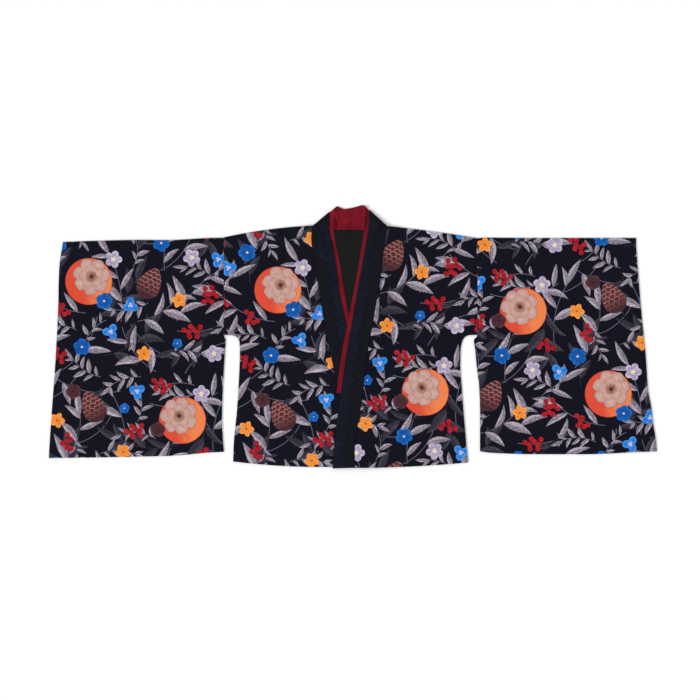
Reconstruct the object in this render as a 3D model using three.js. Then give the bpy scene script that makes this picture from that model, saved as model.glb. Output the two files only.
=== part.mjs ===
// A short kimono coat laid flat on a table, opened out with its sleeves to the sides.
// Millimetres. +X runs to the viewer's right, +Y towards the neck, +Z up off the table.
// The origin is on the table, under the middle of the coat's outline.
import * as THREE from "three";

// Cloth walls. Printed panels are outer cloth and lining together; the neckband is doubled.
const PANEL_WALL = 1.2;
const BAND_WALL = 1.2;
const TRIM_WALL = 1.0;
const SEAM_GAP = 0.3;
const BAND_GAP = 0.5;
const TUBE_HEIGHT = 2 * PANEL_WALL + SEAM_GAP;
const FRONT_BOTTOM = PANEL_WALL + SEAM_GAP;

// At the neck's sides the neckband and the inner band turn over together, about this height.
const TURN_MIDDLE = 2.65;
const BAND_TURN_RADIUS = 2.05;
const INNER_BAND_TURN_RADIUS = 0.65;
const TURN_STEPS = 5;

// The inner band shows this far past the neckband's free edge, and is sewn in this far from the seam.
const INNER_BAND_PEEK = 10.8;
const INNER_BAND_SEAM_INSET = 6;
const INNER_BAND_END_Y = -132;

// The lace lies along the neckband's seam edge; its inner edge is scalloped.
const LACE_SEAM_INSET = 1;
const LACE_WIDTH = 18;
const SCALLOP_DEPTH = 12;
const SCALLOP_PITCH = 25.4;
const STEPS_A_SCALLOP = 4;
const LACE_CORNER = { inset: 2, widthShare: 0.26, shares: [0.3, 0.6] };

// The fronts climb to the neckband over this width. Below the crossing the right front first
// clears the left run that lies under it.
const CLIMB_WIDTH = 60;
const CROSSING = { from: -60, to: -112 };
const LINING_ROWS = 12;
const LINING_COLUMNS = 4;
const LINING_INSET = 2;

// Armhole seams: each sleeve and the body meet on these lines, down to the underarm.
const LEFT_ARMHOLE_X = -302.7;
const UNDERARM_Y = 4.7;

// Side edges of the body. The underarm curve runs in from the armhole to the side seam.
const LEFT_SIDE = [
  { y: 233.1, x: LEFT_ARMHOLE_X },
  { y: UNDERARM_Y, x: LEFT_ARMHOLE_X },
  { y: 3.8, x: -283.9 },
  { y: 0, x: -273.3 },
  { y: -9.9, x: -266.7 },
  { y: -31, x: -265.1 },
  { y: -97, x: -267.4 },
  { y: -172, x: -272.1 },
  { y: -250, x: -279.6 },
  { y: -292.3, x: -281.2 },
];
const RIGHT_SIDE = [
  { y: 231.5, x: 289.5 },
  { y: 122, x: 292.8 },
  { y: UNDERARM_Y, x: 292.2 },
  { y: 3.8, x: 273.1 },
  { y: 0, x: 264 },
  { y: -9.9, x: 257.3 },
  { y: -31, x: 253.1 },
  { y: -66, x: 252.4 },
  { y: -113, x: 255.4 },
  { y: -219, x: 263.7 },
  { y: -294.7, x: 271 },
];

// Heights of the rows that cross the body, as distances along its left or right side edge.
const BODY_ROW_Y = [
  232, 219, 206, 190, 170, 145, 115, 80, 45, 20, UNDERARM_Y, 3.8, 0, -9.9, -31, -62, -97, -118, -132,
  -148, -168, -190, -215, -245, -293,
];

// Top edge of the back: shoulders on both sides of the neckline, as one row of columns.
const NECKLINE_Y = 250.6;
const BACK_TOP = [
  { x: -302.7, y: 233.1 },
  { x: -260, y: 240.8 },
  { x: -223, y: 247.2 },
  { x: -185, y: 253 },
  { x: -148, y: 257.6 },
  { x: -112, y: 259.6 },
  { x: -96, y: 256.6 },
  { x: -75, y: 252.6 },
  { x: -52, y: NECKLINE_Y },
  { x: -34, y: NECKLINE_Y },
  { x: -3, y: NECKLINE_Y },
  { x: 28, y: NECKLINE_Y },
  { x: 42, y: NECKLINE_Y },
  { x: 62, y: 252.4 },
  { x: 83, y: 255.4 },
  { x: 97, y: 257 },
  { x: 134, y: 253.8 },
  { x: 172, y: 248.2 },
  { x: 210, y: 243 },
  { x: 250, y: 237 },
  { x: 289.5, y: 231.5 },
];
const BACK_HEM_DROP = 12;

// Bends of the two fronts' top and bottom edges, away from the straight line between their ends.
const LEFT_FRONT = { rise: 4.5, drop: 6 };
const RIGHT_FRONT = { rise: 1.6, drop: 3 };
const FRONT_COLUMNS = 14;

// Sleeves: the cuff edge, and the edge that is sewn to the armhole and hangs free below it.
const LEFT_CUFF = [
  { y: 222.8, x: -681 },
  { y: 204, x: -684 },
  { y: 180.5, x: -688 },
  { y: 133.5, x: -690.7 },
  { y: 86.5, x: -691.6 },
  { y: -54.5, x: -698.4 },
  { y: -195.5, x: -708.5 },
  { y: -266, x: -713 },
  { y: -284.8, x: -713.9 },
];
const LEFT_SLEEVE_EDGE = [
  { y: 232.8, x: -303.1 },
  { y: 3, x: -303.1 },
  { y: -7.5, x: -299 },
  { y: -31, x: -300.3 },
  { y: -113, x: -305 },
  { y: -190, x: -307.5 },
  { y: -242, x: -305.4 },
  { y: -270.2, x: -302.9 },
];
const RIGHT_CUFF = [
  { y: 232.2, x: 665.2 },
  { y: 218, x: 665.4 },
  { y: 180.5, x: 667.9 },
  { y: 63, x: 677.3 },
  { y: -43, x: 687.8 },
  { y: -125, x: 693.7 },
  { y: -172, x: 702 },
  { y: -207, x: 705.8 },
  { y: -242, x: 711.6 },
  { y: -269.4, x: 713.9 },
];
const RIGHT_SLEEVE_EDGE = [
  { y: 231.2, x: 289.8 },
  { y: 122, x: 293.1 },
  { y: 3, x: 292.5 },
  { y: -7.5, x: 284.5 },
  { y: -31, x: 287.4 },
  { y: -78, x: 292 },
  { y: -113, x: 296.6 },
  { y: -172, x: 298.9 },
  { y: -269.1, x: 298.9 },
];
// Rise of a sleeve's top edge and drop of its bottom edge at shares of its width, left to right.
const LEFT_SLEEVE_EDGES = [
  { across: 0, rise: 0, drop: 0 },
  { across: 0.22, rise: 0.6, drop: 2.2 },
  { across: 0.42, rise: 0.4, drop: 3.6 },
  { across: 0.7, rise: -2.2, drop: 5 },
  { across: 0.92, rise: 0.2, drop: 0.6 },
  { across: 1, rise: 0, drop: 0 },
];
const RIGHT_SLEEVE_EDGES = [
  { across: 0, rise: 0, drop: 0 },
  { across: 0.06, rise: 1.6, drop: 3.4 },
  { across: 0.3, rise: 0.6, drop: 6.6 },
  { across: 0.6, rise: 0.3, drop: 6.6 },
  { across: 0.85, rise: 0.1, drop: 2.4 },
  { across: 1, rise: 0, drop: 0 },
];
const SLEEVE_ROW_Y = [232, 200, 160, 115, 70, 30, 12, 3, -7.5, -31, -75, -120, -170, -220, -255, -270];
const SLEEVE_COLUMNS = 9;
const FOLD_INSET = 1;

// The neckband is one strip, listed from the right hem round the neck to the left hem.
// Its seam edge is sewn to the fronts and back; its free edge faces the wearer's neck.
const RIGHT_RUN = [
  { seamX: 5, seamY: -307.4, freeX: -47.7, freeY: -308.9 },
  { seamX: 4, seamY: -272, freeX: -45.4, freeY: -272 },
  { seamX: 6, seamY: -240, freeX: -42, freeY: -240 },
  { seamX: 10.6, seamY: -210, freeX: -38.8, freeY: -210 },
  { seamX: 16, seamY: -181.4, freeX: -35.4, freeY: -181.4 },
  { seamX: 23, seamY: -132, freeX: -27.9, freeY: -132 },
  { seamX: 28.4, seamY: -87.4, freeX: -22.1, freeY: -87.4 },
  { seamX: 35.4, seamY: -31, freeX: -13.6, freeY: -31 },
  { seamX: 46, seamY: 27.7, freeX: -1.9, freeY: 27.7 },
  { seamX: 59, seamY: 102.9, freeX: 12.2, freeY: 102.9 },
  { seamX: 67.4, seamY: 157, freeX: 22.6, freeY: 157 },
  { seamX: 72.1, seamY: 199.3, freeX: 30.3, freeY: 202 },
  { seamX: 75, seamY: 226, freeX: 35.6, freeY: 236 },
  { seamX: 78.6, seamY: 246, freeX: 38.2, freeY: 268 },
];
const RIGHT_TURN = { seamX: 82.7, seamY: 259.2, freeX: 35.7, freeY: 301.6, outX: 0.67, outY: 0.742 };
const BACK_RUN = [
  { seamX: 60, seamY: 254, freeX: 33.2, freeY: 303.4 },
  { seamX: 42, seamY: 251.3, freeX: 27.4, freeY: 308 },
  { seamX: 28, seamY: 250.9, freeX: 21.2, freeY: 309 },
  { seamX: 14, seamY: 250.9, freeX: 10, freeY: 306 },
  { seamX: -2, seamY: 250.9, freeX: -3, freeY: 302.8 },
  { seamX: -18, seamY: 250.9, freeX: -20, freeY: 300.4 },
  { seamX: -34, seamY: 250.9, freeX: -29, freeY: 303.6 },
  { seamX: -52, seamY: 251.2, freeX: -34.6, freeY: 305.8 },
  { seamX: -75, seamY: 254.7, freeX: -37.6, freeY: 306.4 },
];
const LEFT_TURN = { seamX: -94.7, seamY: 260.4, freeX: -39.5, freeY: 307.4, outX: -0.648, outY: 0.761 };
const LEFT_RUN = [
  { seamX: -96.2, seamY: 248, freeX: -50.6, freeY: 275 },
  { seamX: -97, seamY: 236, freeX: -54.6, freeY: 250 },
  { seamX: -96.4, seamY: 222, freeX: -52, freeY: 226 },
  { seamX: -93.8, seamY: 199.3, freeX: -46.6, freeY: 199.3 },
  { seamX: -86.9, seamY: 157, freeX: -38.4, freeY: 157 },
  { seamX: -79.4, seamY: 112.3, freeX: -32.2, freeY: 112.3 },
  { seamX: -72.4, seamY: 67.7, freeX: -23.4, freeY: 67.7 },
  { seamX: -65.3, seamY: 23, freeX: -14, freeY: 23 },
  { seamX: -53.8, seamY: -31, freeX: -4.2, freeY: -31 },
  { seamX: -43.6, seamY: -80, freeX: 5.6, freeY: -80 },
  { seamX: -33.6, seamY: -129.7, freeX: 15.7, freeY: -129.7 },
  { seamX: -24.6, seamY: -175, freeX: 24.6, freeY: -175 },
  { seamX: -16, seamY: -219, freeX: 33.4, freeY: -219 },
  { seamX: 2, seamY: -303.5, freeX: 51.4, freeY: -302.5 },
];
const RUN_STEP = 16;
const BAND_COLUMNS = 3;

// Undersides of the neckband's two runs above the table, as they lie on the pieces below them.
const RIGHT_BAND_HEIGHT = [
  { y: 310, bottom: 4.1 },
  { y: 92, bottom: 4.1 },
  { y: 70, bottom: 6.9 },
  { y: 4, bottom: 6.9 },
  { y: -20, bottom: 8.2 },
  { y: -138, bottom: 8.2 },
  { y: -175, bottom: 5.6 },
  { y: -310, bottom: 5.6 },
];
const LEFT_BAND_HEIGHT = [
  { y: 310, bottom: 4.1 },
  { y: -134, bottom: 4.1 },
  { y: -165, bottom: 2.8 },
  { y: -310, bottom: 2.8 },
];

// ---------------------------------------------------------------- small helpers

const mix = (from, to, share) => from + (to - from) * share;

function smoothStep(low, high, value) {
  const share = Math.min(Math.max((value - low) / (high - low), 0), 1);
  return share * share * (3 - 2 * share);
}

// A column's value at a place along the table's key column. The curve between rows is a cubic
// that never overshoots its rows: each row's slope is the harmonic mean of its neighbours' slopes.
function read(table, key, column, place) {
  const direction = Math.sign(table[table.length - 1][key] - table[0][key]);
  const last = table.length - 2;
  let i = table.findIndex((row, k) => k > 0 && direction * (row[key] - place) >= 0) - 1;
  i = i < 0 ? (direction * (place - table[0][key]) <= 0 ? 0 : last) : Math.min(i, last);
  const span = (k) => table[k + 1][key] - table[k][key];
  const secant = (k) => (table[k + 1][column] - table[k][column]) / span(k);
  const slope = (k) => {
    if (k === 0) return secant(0);
    if (k === table.length - 1) return secant(k - 1);
    const [a, b] = [secant(k - 1), secant(k)];
    return a * b > 0 ? (2 * a * b) / (a + b) : 0;
  };
  const t = Math.min(Math.max((place - table[i][key]) / span(i), 0), 1);
  const s = 1 - t;
  return (
    s * s * (1 + 2 * t) * table[i][column] +
    t * t * (3 - 2 * t) * table[i + 1][column] +
    span(i) * t * s * (s * slope(i) - t * slope(i + 1))
  );
}

// A closed wall between an outer and an inner grid of points. Rows run on, columns run across, and
// rows x columns faces outwards. A looped wall's last row joins its first, as on a tube.
function wallGeometry(rowCount, columnCount, outer, inner, looped = false) {
  const positions = [];
  const faces = [];
  for (const side of [outer, inner])
    for (let row = 0; row < rowCount; row++)
      for (let column = 0; column < columnCount; column++) positions.push(...side(row, column).toArray());
  const layer = rowCount * columnCount;
  const index = (row, column, side) => side * layer + (row % rowCount) * columnCount + column;
  const quad = (a, b, c, d) => faces.push(a, b, c, a, c, d);
  const rowSteps = looped ? rowCount : rowCount - 1;
  for (let row = 0; row < rowSteps; row++) {
    for (let column = 0; column < columnCount - 1; column++) {
      const [r, c] = [row + 1, column + 1];
      quad(index(row, column, 0), index(r, column, 0), index(r, c, 0), index(row, c, 0));
      quad(index(row, column, 1), index(row, c, 1), index(r, c, 1), index(r, column, 1));
    }
    const end = columnCount - 1;
    quad(index(row, 0, 1), index(row + 1, 0, 1), index(row + 1, 0, 0), index(row, 0, 0));
    quad(index(row, end, 0), index(row + 1, end, 0), index(row + 1, end, 1), index(row, end, 1));
  }
  for (let column = 0; column < columnCount - 1 && !looped; column++) {
    const end = rowCount - 1;
    quad(index(0, column, 0), index(0, column + 1, 0), index(0, column + 1, 1), index(0, column, 1));
    quad(index(end, column, 1), index(end, column + 1, 1), index(end, column + 1, 0), index(end, column, 0));
  }
  const geometry = new THREE.BufferGeometry();
  geometry.setAttribute("position", new THREE.Float32BufferAttribute(positions, 3));
  geometry.setIndex(faces);
  geometry.computeVertexNormals();
  return geometry;
}

// A flat-lying piece: grid points on the table plan, a height under them, and an even wall.
function layGeometry(rowCount, columnCount, plan, heightUnder, wall) {
  const at = (row, column, lift) => {
    const { x, y } = plan(row, column);
    return new THREE.Vector3(x, y, heightUnder(x, y) + lift);
  };
  return wallGeometry(
    rowCount,
    columnCount,
    (row, column) => at(row, column, wall),
    (row, column) => at(row, column, 0),
  );
}

// ---------------------------------------------------------------- edges of the neckband

// Seam and free edges of a run as tables read by y, with the turned corner at the neck's side.
const seamTable = (run) => run.map((row) => ({ y: row.seamY, x: row.seamX }));
const freeTable = (run) => run.map((row) => ({ y: row.freeY, x: row.freeX }));
const LEFT_SEAM = seamTable([LEFT_TURN, ...LEFT_RUN]);
const LEFT_FREE = freeTable([LEFT_TURN, ...LEFT_RUN]);
const RIGHT_SEAM = seamTable([RIGHT_TURN, ...[...RIGHT_RUN].reverse()]);

const seamX = { left: (y) => read(LEFT_SEAM, "y", "x", y), right: (y) => read(RIGHT_SEAM, "y", "x", y) };
const leftRunFreeX = (y) => read(LEFT_FREE, "y", "x", y);
const bandBottom = {
  left: (y) => read(LEFT_BAND_HEIGHT, "y", "bottom", y),
  right: (y) => read(RIGHT_BAND_HEIGHT, "y", "bottom", y),
};

// ---------------------------------------------------------------- body panels

// Rows cross a panel on straight lines between its two side edges. The first row is bent by the
// top edge's rise and the last by the bottom edge's drop, and both bends fade out by the next rows.
function panelPlan(rowEnds, bends) {
  const count = rowEnds.length;
  return (row, column) => {
    const { left, right } = rowEnds[row];
    const { across, rise, drop } = bends[column];
    const topShare = Math.max(1 - row / 4, 0) ** 2;
    const bottomShare = Math.max(1 - (count - 1 - row) / 4, 0) ** 2;
    return {
      x: mix(left.x, right.x, across),
      y: mix(left.y, right.y, across) + rise * topShare - drop * bottomShare,
    };
  };
}

// Evenly spaced columns whose edges bend as a parabola.
function parabolaBends(columnCount, rise, drop) {
  return Array.from({ length: columnCount }, (_, column) => {
    const across = column / (columnCount - 1);
    const bend = 4 * across * (1 - across);
    return { across, rise: rise * bend, drop: drop * bend };
  });
}

function backGeometry() {
  const [first, last] = [BACK_TOP[0], BACK_TOP[BACK_TOP.length - 1]];
  const rowEnds = BODY_ROW_Y.map((y) => {
    const rowY = y === BODY_ROW_Y[0] ? { left: first.y, right: last.y } : { left: y, right: y };
    return {
      left: { x: read(LEFT_SIDE, "y", "x", rowY.left), y: Math.max(rowY.left, LEFT_SIDE.at(-1).y) },
      right: { x: read(RIGHT_SIDE, "y", "x", rowY.right), y: rowY.right },
    };
  });
  const bends = BACK_TOP.map(({ x, y }) => {
    const across = (x - first.x) / (last.x - first.x);
    const bend = 4 * across * (1 - across);
    return { across, rise: y - mix(first.y, last.y, across), drop: BACK_HEM_DROP * bend };
  });
  return layGeometry(rowEnds.length, bends.length, panelPlan(rowEnds, bends), () => 0, PANEL_WALL);
}

// A front panel from its side edge to the neckband's seam, climbing to the band's height there.
function frontGeometry(side, sideTable, { rise, drop }) {
  const isLeft = side === "left";
  const seam = isLeft ? LEFT_SEAM : RIGHT_SEAM;
  const [sideTop, sideEnd] = [sideTable[0].y, sideTable.at(-1).y];
  const [seamTop, seamEnd] = [seam[0].y, seam.at(-1).y];
  const rowEnds = BODY_ROW_Y.map((y, row) => {
    const isFirst = row === 0;
    const isLast = row === BODY_ROW_Y.length - 1;
    const sideY = isFirst ? sideTop : isLast ? sideEnd : y;
    const seamY = mix(seamTop, seamEnd, (sideTop - sideY) / (sideTop - sideEnd));
    const onSide = { x: read(sideTable, "y", "x", sideY), y: sideY };
    const onSeam = { x: seamX[side](seamY) + (isLeft ? -BAND_GAP : BAND_GAP), y: seamY };
    return isLeft ? { left: onSide, right: onSeam } : { left: onSeam, right: onSide };
  });
  const climbFrom = (x, y) => (isLeft ? seamX.left(y) - x : x - Math.max(seamX.right(y), leftRunFreeX(y)));
  const heightUnder = (x, y) => {
    const overLeftRun = smoothStep(-CROSSING.from, -CROSSING.to, -y);
    const fromBand = isLeft ? climbFrom(x, y) : mix(x - seamX.right(y), climbFrom(x, y), overLeftRun);
    const climb = 1 - smoothStep(0, CLIMB_WIDTH, fromBand);
    return mix(FRONT_BOTTOM, bandBottom[side](y), climb);
  };
  const plan = panelPlan(rowEnds, parabolaBends(FRONT_COLUMNS, rise, drop));
  return layGeometry(rowEnds.length, FRONT_COLUMNS, plan, heightUnder, PANEL_WALL);
}

// The back's lining where the neck shows it, from the neckline down between the two fronts.
function liningGeometry() {
  const top = NECKLINE_Y;
  const bottom = LEFT_RUN.at(-1).seamY;
  const plan = (row, column) => {
    const y = mix(top, bottom, row / LINING_ROWS);
    const left = seamX.left(y) + LINING_INSET;
    const right = Math.max(seamX.right(y), leftRunFreeX(y)) - LINING_INSET;
    return { x: mix(left, right, column / LINING_COLUMNS), y };
  };
  return layGeometry(LINING_ROWS + 1, LINING_COLUMNS + 1, plan, () => FRONT_BOTTOM, TRIM_WALL);
}

// ---------------------------------------------------------------- sleeves

// A sleeve is one cloth folded along its top edge and sewn along its bottom edge: a flat tube,
// open at the cuff and along the edge beside the body. Its section loops over the top and back.
function sleeveGeometry(leftEdge, rightEdge, edges) {
  const [top, bottom] = [SLEEVE_ROW_Y[0], SLEEVE_ROW_Y.at(-1)];
  const downs = SLEEVE_ROW_Y.map((y) => (top - y) / (top - bottom));
  const section = [
    ...downs.map((down) => ({ down, layer: 1 })),
    { down: 1, layer: 0 },
    ...downs.toReversed().map((down) => ({ down, layer: -1 })),
    { down: 0, layer: 0 },
  ];
  const at = (column, { down, layer }, wall) => {
    const across = column / SLEEVE_COLUMNS;
    const inset = wall + (layer === 0 ? 0 : FOLD_INSET);
    const end = (table) => {
      const y = mix(table[0].y, table.at(-1).y, down);
      return { x: read(table, "y", "x", y), y };
    };
    const [left, right] = [end(leftEdge), end(rightEdge)];
    const rise = read(edges, "across", "rise", across) * (1 - down) ** 4;
    const drop = read(edges, "across", "drop", across) * down ** 4;
    const y = mix(left.y, right.y, across) + rise - drop + mix(-inset, inset, down);
    const z = TUBE_HEIGHT / 2 + layer * (TUBE_HEIGHT / 2 - wall);
    return new THREE.Vector3(mix(left.x, right.x, across), y, z);
  };
  return wallGeometry(
    section.length,
    SLEEVE_COLUMNS + 1,
    (row, column) => at(column, section[row], 0),
    (row, column) => at(column, section[row], PANEL_WALL),
    true,
  );
}

// ---------------------------------------------------------------- neckband and inner band

const EDGE_COLUMNS = ["seamX", "seamY", "freeX", "freeY"];

// A run's row at a place between its table's rows, on the no-overshoot curve over row numbers.
function runRow(run, place) {
  const row = {};
  for (const column of EDGE_COLUMNS) {
    const numbered = run.map((entry, number) => ({ number, value: entry[column] }));
    row[column] = read(numbered, "number", "value", place);
  }
  return row;
}

// A row with its seam edge drawn in and its free edge carried out along the row's own line.
function shifted(row, seamInset, peek) {
  const unit = new THREE.Vector2(row.freeX - row.seamX, row.freeY - row.seamY).normalize();
  return {
    seamX: row.seamX + unit.x * seamInset,
    seamY: row.seamY + unit.y * seamInset,
    freeX: row.freeX + unit.x * peek,
    freeY: row.freeY + unit.y * peek,
  };
}

// The strip's rows, each with its two edge points, the middle height of its wall, and the way its
// outer face looks: up on the two front runs, down behind the neck, turning over at the neck's sides.
// A turn's fold line lies inside the coat's outline by the neckband's own outer radius.
function bandRows(strip) {
  const rows = [];
  const addRun = (run, side) => {
    for (let k = 0; k < run.length - 1; k++) {
      const steps = Math.max(1, Math.round(Math.abs(run[k + 1].seamY - run[k].seamY) / RUN_STEP));
      for (let step = k === 0 ? 0 : 1; step <= steps; step++) {
        const row = runRow(run, k + step / steps);
        if (row.seamY < strip.endY - 1e-6) continue;
        const middle = strip.under(side, row.seamY) + strip.wall / 2;
        rows.push({ ...shifted(row, strip.seamInset, strip.peek), middle, facing: 1, outX: 0, outY: 0 });
      }
    }
  };
  const addTurn = (turn, way) => {
    for (let step = 0; step <= TURN_STEPS; step++) {
      const angle = (Math.PI * step) / TURN_STEPS;
      const facing = way * Math.cos(angle);
      const out = Math.sin(angle) * strip.radius - BAND_TURN_RADIUS - BAND_WALL / 2;
      rows.push({
        seamX: turn.seamX + turn.outX * out,
        seamY: turn.seamY + turn.outY * out,
        freeX: turn.freeX + turn.outX * out,
        freeY: turn.freeY + turn.outY * out,
        middle: TURN_MIDDLE + strip.radius * facing,
        facing,
        outX: turn.outX,
        outY: turn.outY,
      });
    }
  };
  addRun(RIGHT_RUN, "right");
  addTurn(RIGHT_TURN, 1);
  for (const row of BACK_RUN) {
    rows.push({ ...row, middle: strip.backBottom + strip.wall / 2, facing: -1, outX: 0, outY: 0 });
  }
  addTurn(LEFT_TURN, -1);
  addRun(LEFT_RUN, "left");
  return rows;
}

function bandGeometry(strip) {
  const rows = bandRows(strip);
  const at = (row, column, side) => {
    const { seamX: sx, seamY: sy, freeX: fx, freeY: fy, middle, facing, outX, outY } = rows[row];
    const share = column / BAND_COLUMNS;
    const half = (side * strip.wall) / 2;
    const sideways = Math.sqrt(Math.max(1 - facing * facing, 0)) * half;
    return new THREE.Vector3(
      mix(sx, fx, share) + outX * sideways,
      mix(sy, fy, share) + outY * sideways,
      middle + facing * half,
    );
  };
  return wallGeometry(
    rows.length,
    BAND_COLUMNS + 1,
    (row, column) => at(row, column, 1),
    (row, column) => at(row, column, -1),
  );
}

const NECKBAND = {
  seamInset: 0,
  peek: 0,
  backBottom: 0,
  wall: BAND_WALL,
  radius: BAND_TURN_RADIUS,
  under: (side, y) => bandBottom[side](y),
  endY: -Infinity,
};
const INNER_BAND = {
  seamInset: INNER_BAND_SEAM_INSET,
  peek: INNER_BAND_PEEK,
  backBottom: BAND_WALL + SEAM_GAP,
  wall: TRIM_WALL,
  radius: INNER_BAND_TURN_RADIUS,
  under: (side, y) => bandBottom[side](y) - TRIM_WALL - SEAM_GAP,
  endY: INNER_BAND_END_Y,
};

// ---------------------------------------------------------------- lace

// A lace trim on the neckband: its outer edge follows the seam and then the turned corner.
function laceGeometry(side) {
  const isLeft = side === "left";
  const run = isLeft ? [LEFT_TURN, ...LEFT_RUN].reverse() : [...RIGHT_RUN, RIGHT_TURN];
  const turn = isLeft ? LEFT_TURN : RIGHT_TURN;
  const seamPoints = run.map((row) => new THREE.Vector2(row.seamX, row.seamY));
  const cornerPoints = LACE_CORNER.shares.map(
    (share) => new THREE.Vector2(mix(turn.seamX, turn.freeX, share), mix(turn.seamY, turn.freeY, share)),
  );
  const edge = new THREE.SplineCurve([...seamPoints, ...cornerPoints]);
  const long = edge.getLength();
  const rowCount = Math.round(long / SCALLOP_PITCH) * STEPS_A_SCALLOP + 1;
  const inward = isLeft ? 1 : -1;
  const plan = (row, column) => {
    const share = row / (rowCount - 1);
    const point = edge.getPointAt(share);
    const tangent = edge.getTangentAt(share);
    const scallop = Math.abs(Math.sin((Math.PI * row) / STEPS_A_SCALLOP));
    const corner = smoothStep(turn.seamY - 10, turn.seamY + 8, point.y);
    const inset = mix(LACE_SEAM_INSET, LACE_CORNER.inset, corner);
    const width = (LACE_WIDTH + SCALLOP_DEPTH * scallop) * mix(1, LACE_CORNER.widthShare, corner);
    const into = inset + width * column;
    return { x: point.x + inward * tangent.y * into, y: point.y - inward * tangent.x * into };
  };
  const heightUnder = (x, y) => bandBottom[side](y) + BAND_WALL + SEAM_GAP;
  const across = (column) => (isLeft ? column : 1 - column);
  return layGeometry(
    rowCount,
    2,
    (row, column) => plan(rowCount - 1 - row, across(column)),
    heightUnder,
    TRIM_WALL,
  );
}

// ---------------------------------------------------------------- the coat

const PRINTED_CLOTH = { color: "#171824", roughness: 0.9 };
const LINING_CLOTH = { color: "#1c1c1c", roughness: 0.8 };
const NECKBAND_CLOTH = { color: "#1b2033", roughness: 0.85 };
const INNER_BAND_CLOTH = { color: "#8c1424", roughness: 0.8 };
const LACE_THREAD = { color: "#121212", roughness: 0.95 };

function piece(name, geometry, finish) {
  const mesh = new THREE.Mesh(geometry, new THREE.MeshStandardMaterial({ ...finish, metalness: 0 }));
  mesh.name = name;
  return mesh;
}

const body = new THREE.Group();
body.add(piece("back", backGeometry(), PRINTED_CLOTH));
body.add(piece("front_left", frontGeometry("left", LEFT_SIDE, LEFT_FRONT), PRINTED_CLOTH));
body.add(piece("front_right", frontGeometry("right", RIGHT_SIDE, RIGHT_FRONT), PRINTED_CLOTH));
body.add(piece("back_lining", liningGeometry(), LINING_CLOTH));

const sleeves = new THREE.Group();
const leftSleeve = sleeveGeometry(LEFT_CUFF, LEFT_SLEEVE_EDGE, LEFT_SLEEVE_EDGES);
const rightSleeve = sleeveGeometry(RIGHT_SLEEVE_EDGE, RIGHT_CUFF, RIGHT_SLEEVE_EDGES);
sleeves.add(piece("sleeve_left", leftSleeve, PRINTED_CLOTH));
sleeves.add(piece("sleeve_right", rightSleeve, PRINTED_CLOTH));

const neck = new THREE.Group();
neck.add(piece("neckband", bandGeometry(NECKBAND), NECKBAND_CLOTH));
neck.add(piece("inner_band", bandGeometry(INNER_BAND), INNER_BAND_CLOTH));
neck.add(piece("lace_left", laceGeometry("left"), LACE_THREAD));
neck.add(piece("lace_right", laceGeometry("right"), LACE_THREAD));

const coat = new THREE.Group();
coat.add(body, sleeves, neck);

export default coat;
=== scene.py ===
"""A short kimono coat laid flat on a table, front up, with its sleeves opened out to the sides.

Sizes are in millimetres and become metres in the meshes. +X runs to the viewer's right, +Y
towards the neck and +Z up off the table. Left and right are the viewer's.
"""

import logging
import math
from collections.abc import Iterable
from dataclasses import dataclass
from enum import Enum

import bpy
import numpy as np
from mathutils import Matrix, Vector


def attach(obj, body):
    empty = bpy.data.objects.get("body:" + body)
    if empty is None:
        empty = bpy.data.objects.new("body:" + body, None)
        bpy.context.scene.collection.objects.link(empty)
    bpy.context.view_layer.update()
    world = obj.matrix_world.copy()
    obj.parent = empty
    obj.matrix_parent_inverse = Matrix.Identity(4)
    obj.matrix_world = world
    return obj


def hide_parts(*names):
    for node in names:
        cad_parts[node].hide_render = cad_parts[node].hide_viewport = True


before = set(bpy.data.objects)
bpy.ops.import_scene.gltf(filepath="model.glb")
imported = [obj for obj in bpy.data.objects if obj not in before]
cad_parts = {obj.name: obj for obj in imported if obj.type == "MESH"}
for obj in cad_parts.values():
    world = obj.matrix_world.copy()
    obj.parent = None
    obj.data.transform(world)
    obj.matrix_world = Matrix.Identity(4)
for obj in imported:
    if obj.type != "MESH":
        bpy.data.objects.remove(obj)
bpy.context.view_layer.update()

log = logging.getLogger("kimono_coat")

Array = np.ndarray
Pair = tuple[float, float]
Material, Socket, Tree = bpy.types.Material, bpy.types.NodeSocket, bpy.types.NodeTree
MM = 0.001


class Slot(Enum):
    """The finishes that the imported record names."""

    PRINTED_CLOTH = "printed_cloth"
    LINING = "lining"
    NECKBAND_CLOTH = "neckband_cloth"
    INNER_BAND_CLOTH = "inner_band_cloth"
    LACE = "lace"


# ---- numbers


def mix(start: Array | float, end: Array | float, share: Array | float) -> Array | float:
    """Straight line from start to end."""
    return start + (end - start) * share


def smooth_step(low: float, high: float, value: Array | float) -> Array:
    """Rise from 0 at low to 1 at high, flat at both ends: 3t^2 - 2t^3."""
    share = np.clip((np.asarray(value, float) - low) / (high - low), 0, 1)
    return share * share * (3 - 2 * share)


def columns(*parts: Array | float) -> Array:
    """Arrays of one shape side by side as the columns of points or of an attribute."""
    return np.stack(np.broadcast_arrays(*parts), axis=-1).astype(float)


def turned(dx: Array, dy: Array, heading: float) -> tuple[Array, Array]:
    """A difference of places as lengths along a heading in degrees and to its left."""
    cosine, sine = math.cos(math.radians(heading)), math.sin(math.radians(heading))
    return dx * cosine + dy * sine, dy * cosine - dx * sine


def steps_between(places: Iterable[float], longest: float) -> Array:
    """The given places with even steps put between them, none longer than the given length."""
    places = list(places)
    stretches = [
        np.linspace(a, b, max(1, math.ceil(abs(b - a) / longest)), endpoint=False)
        for a, b in zip(places, places[1:])
    ]
    return np.concatenate([*stretches, [places[-1]]])


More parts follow.
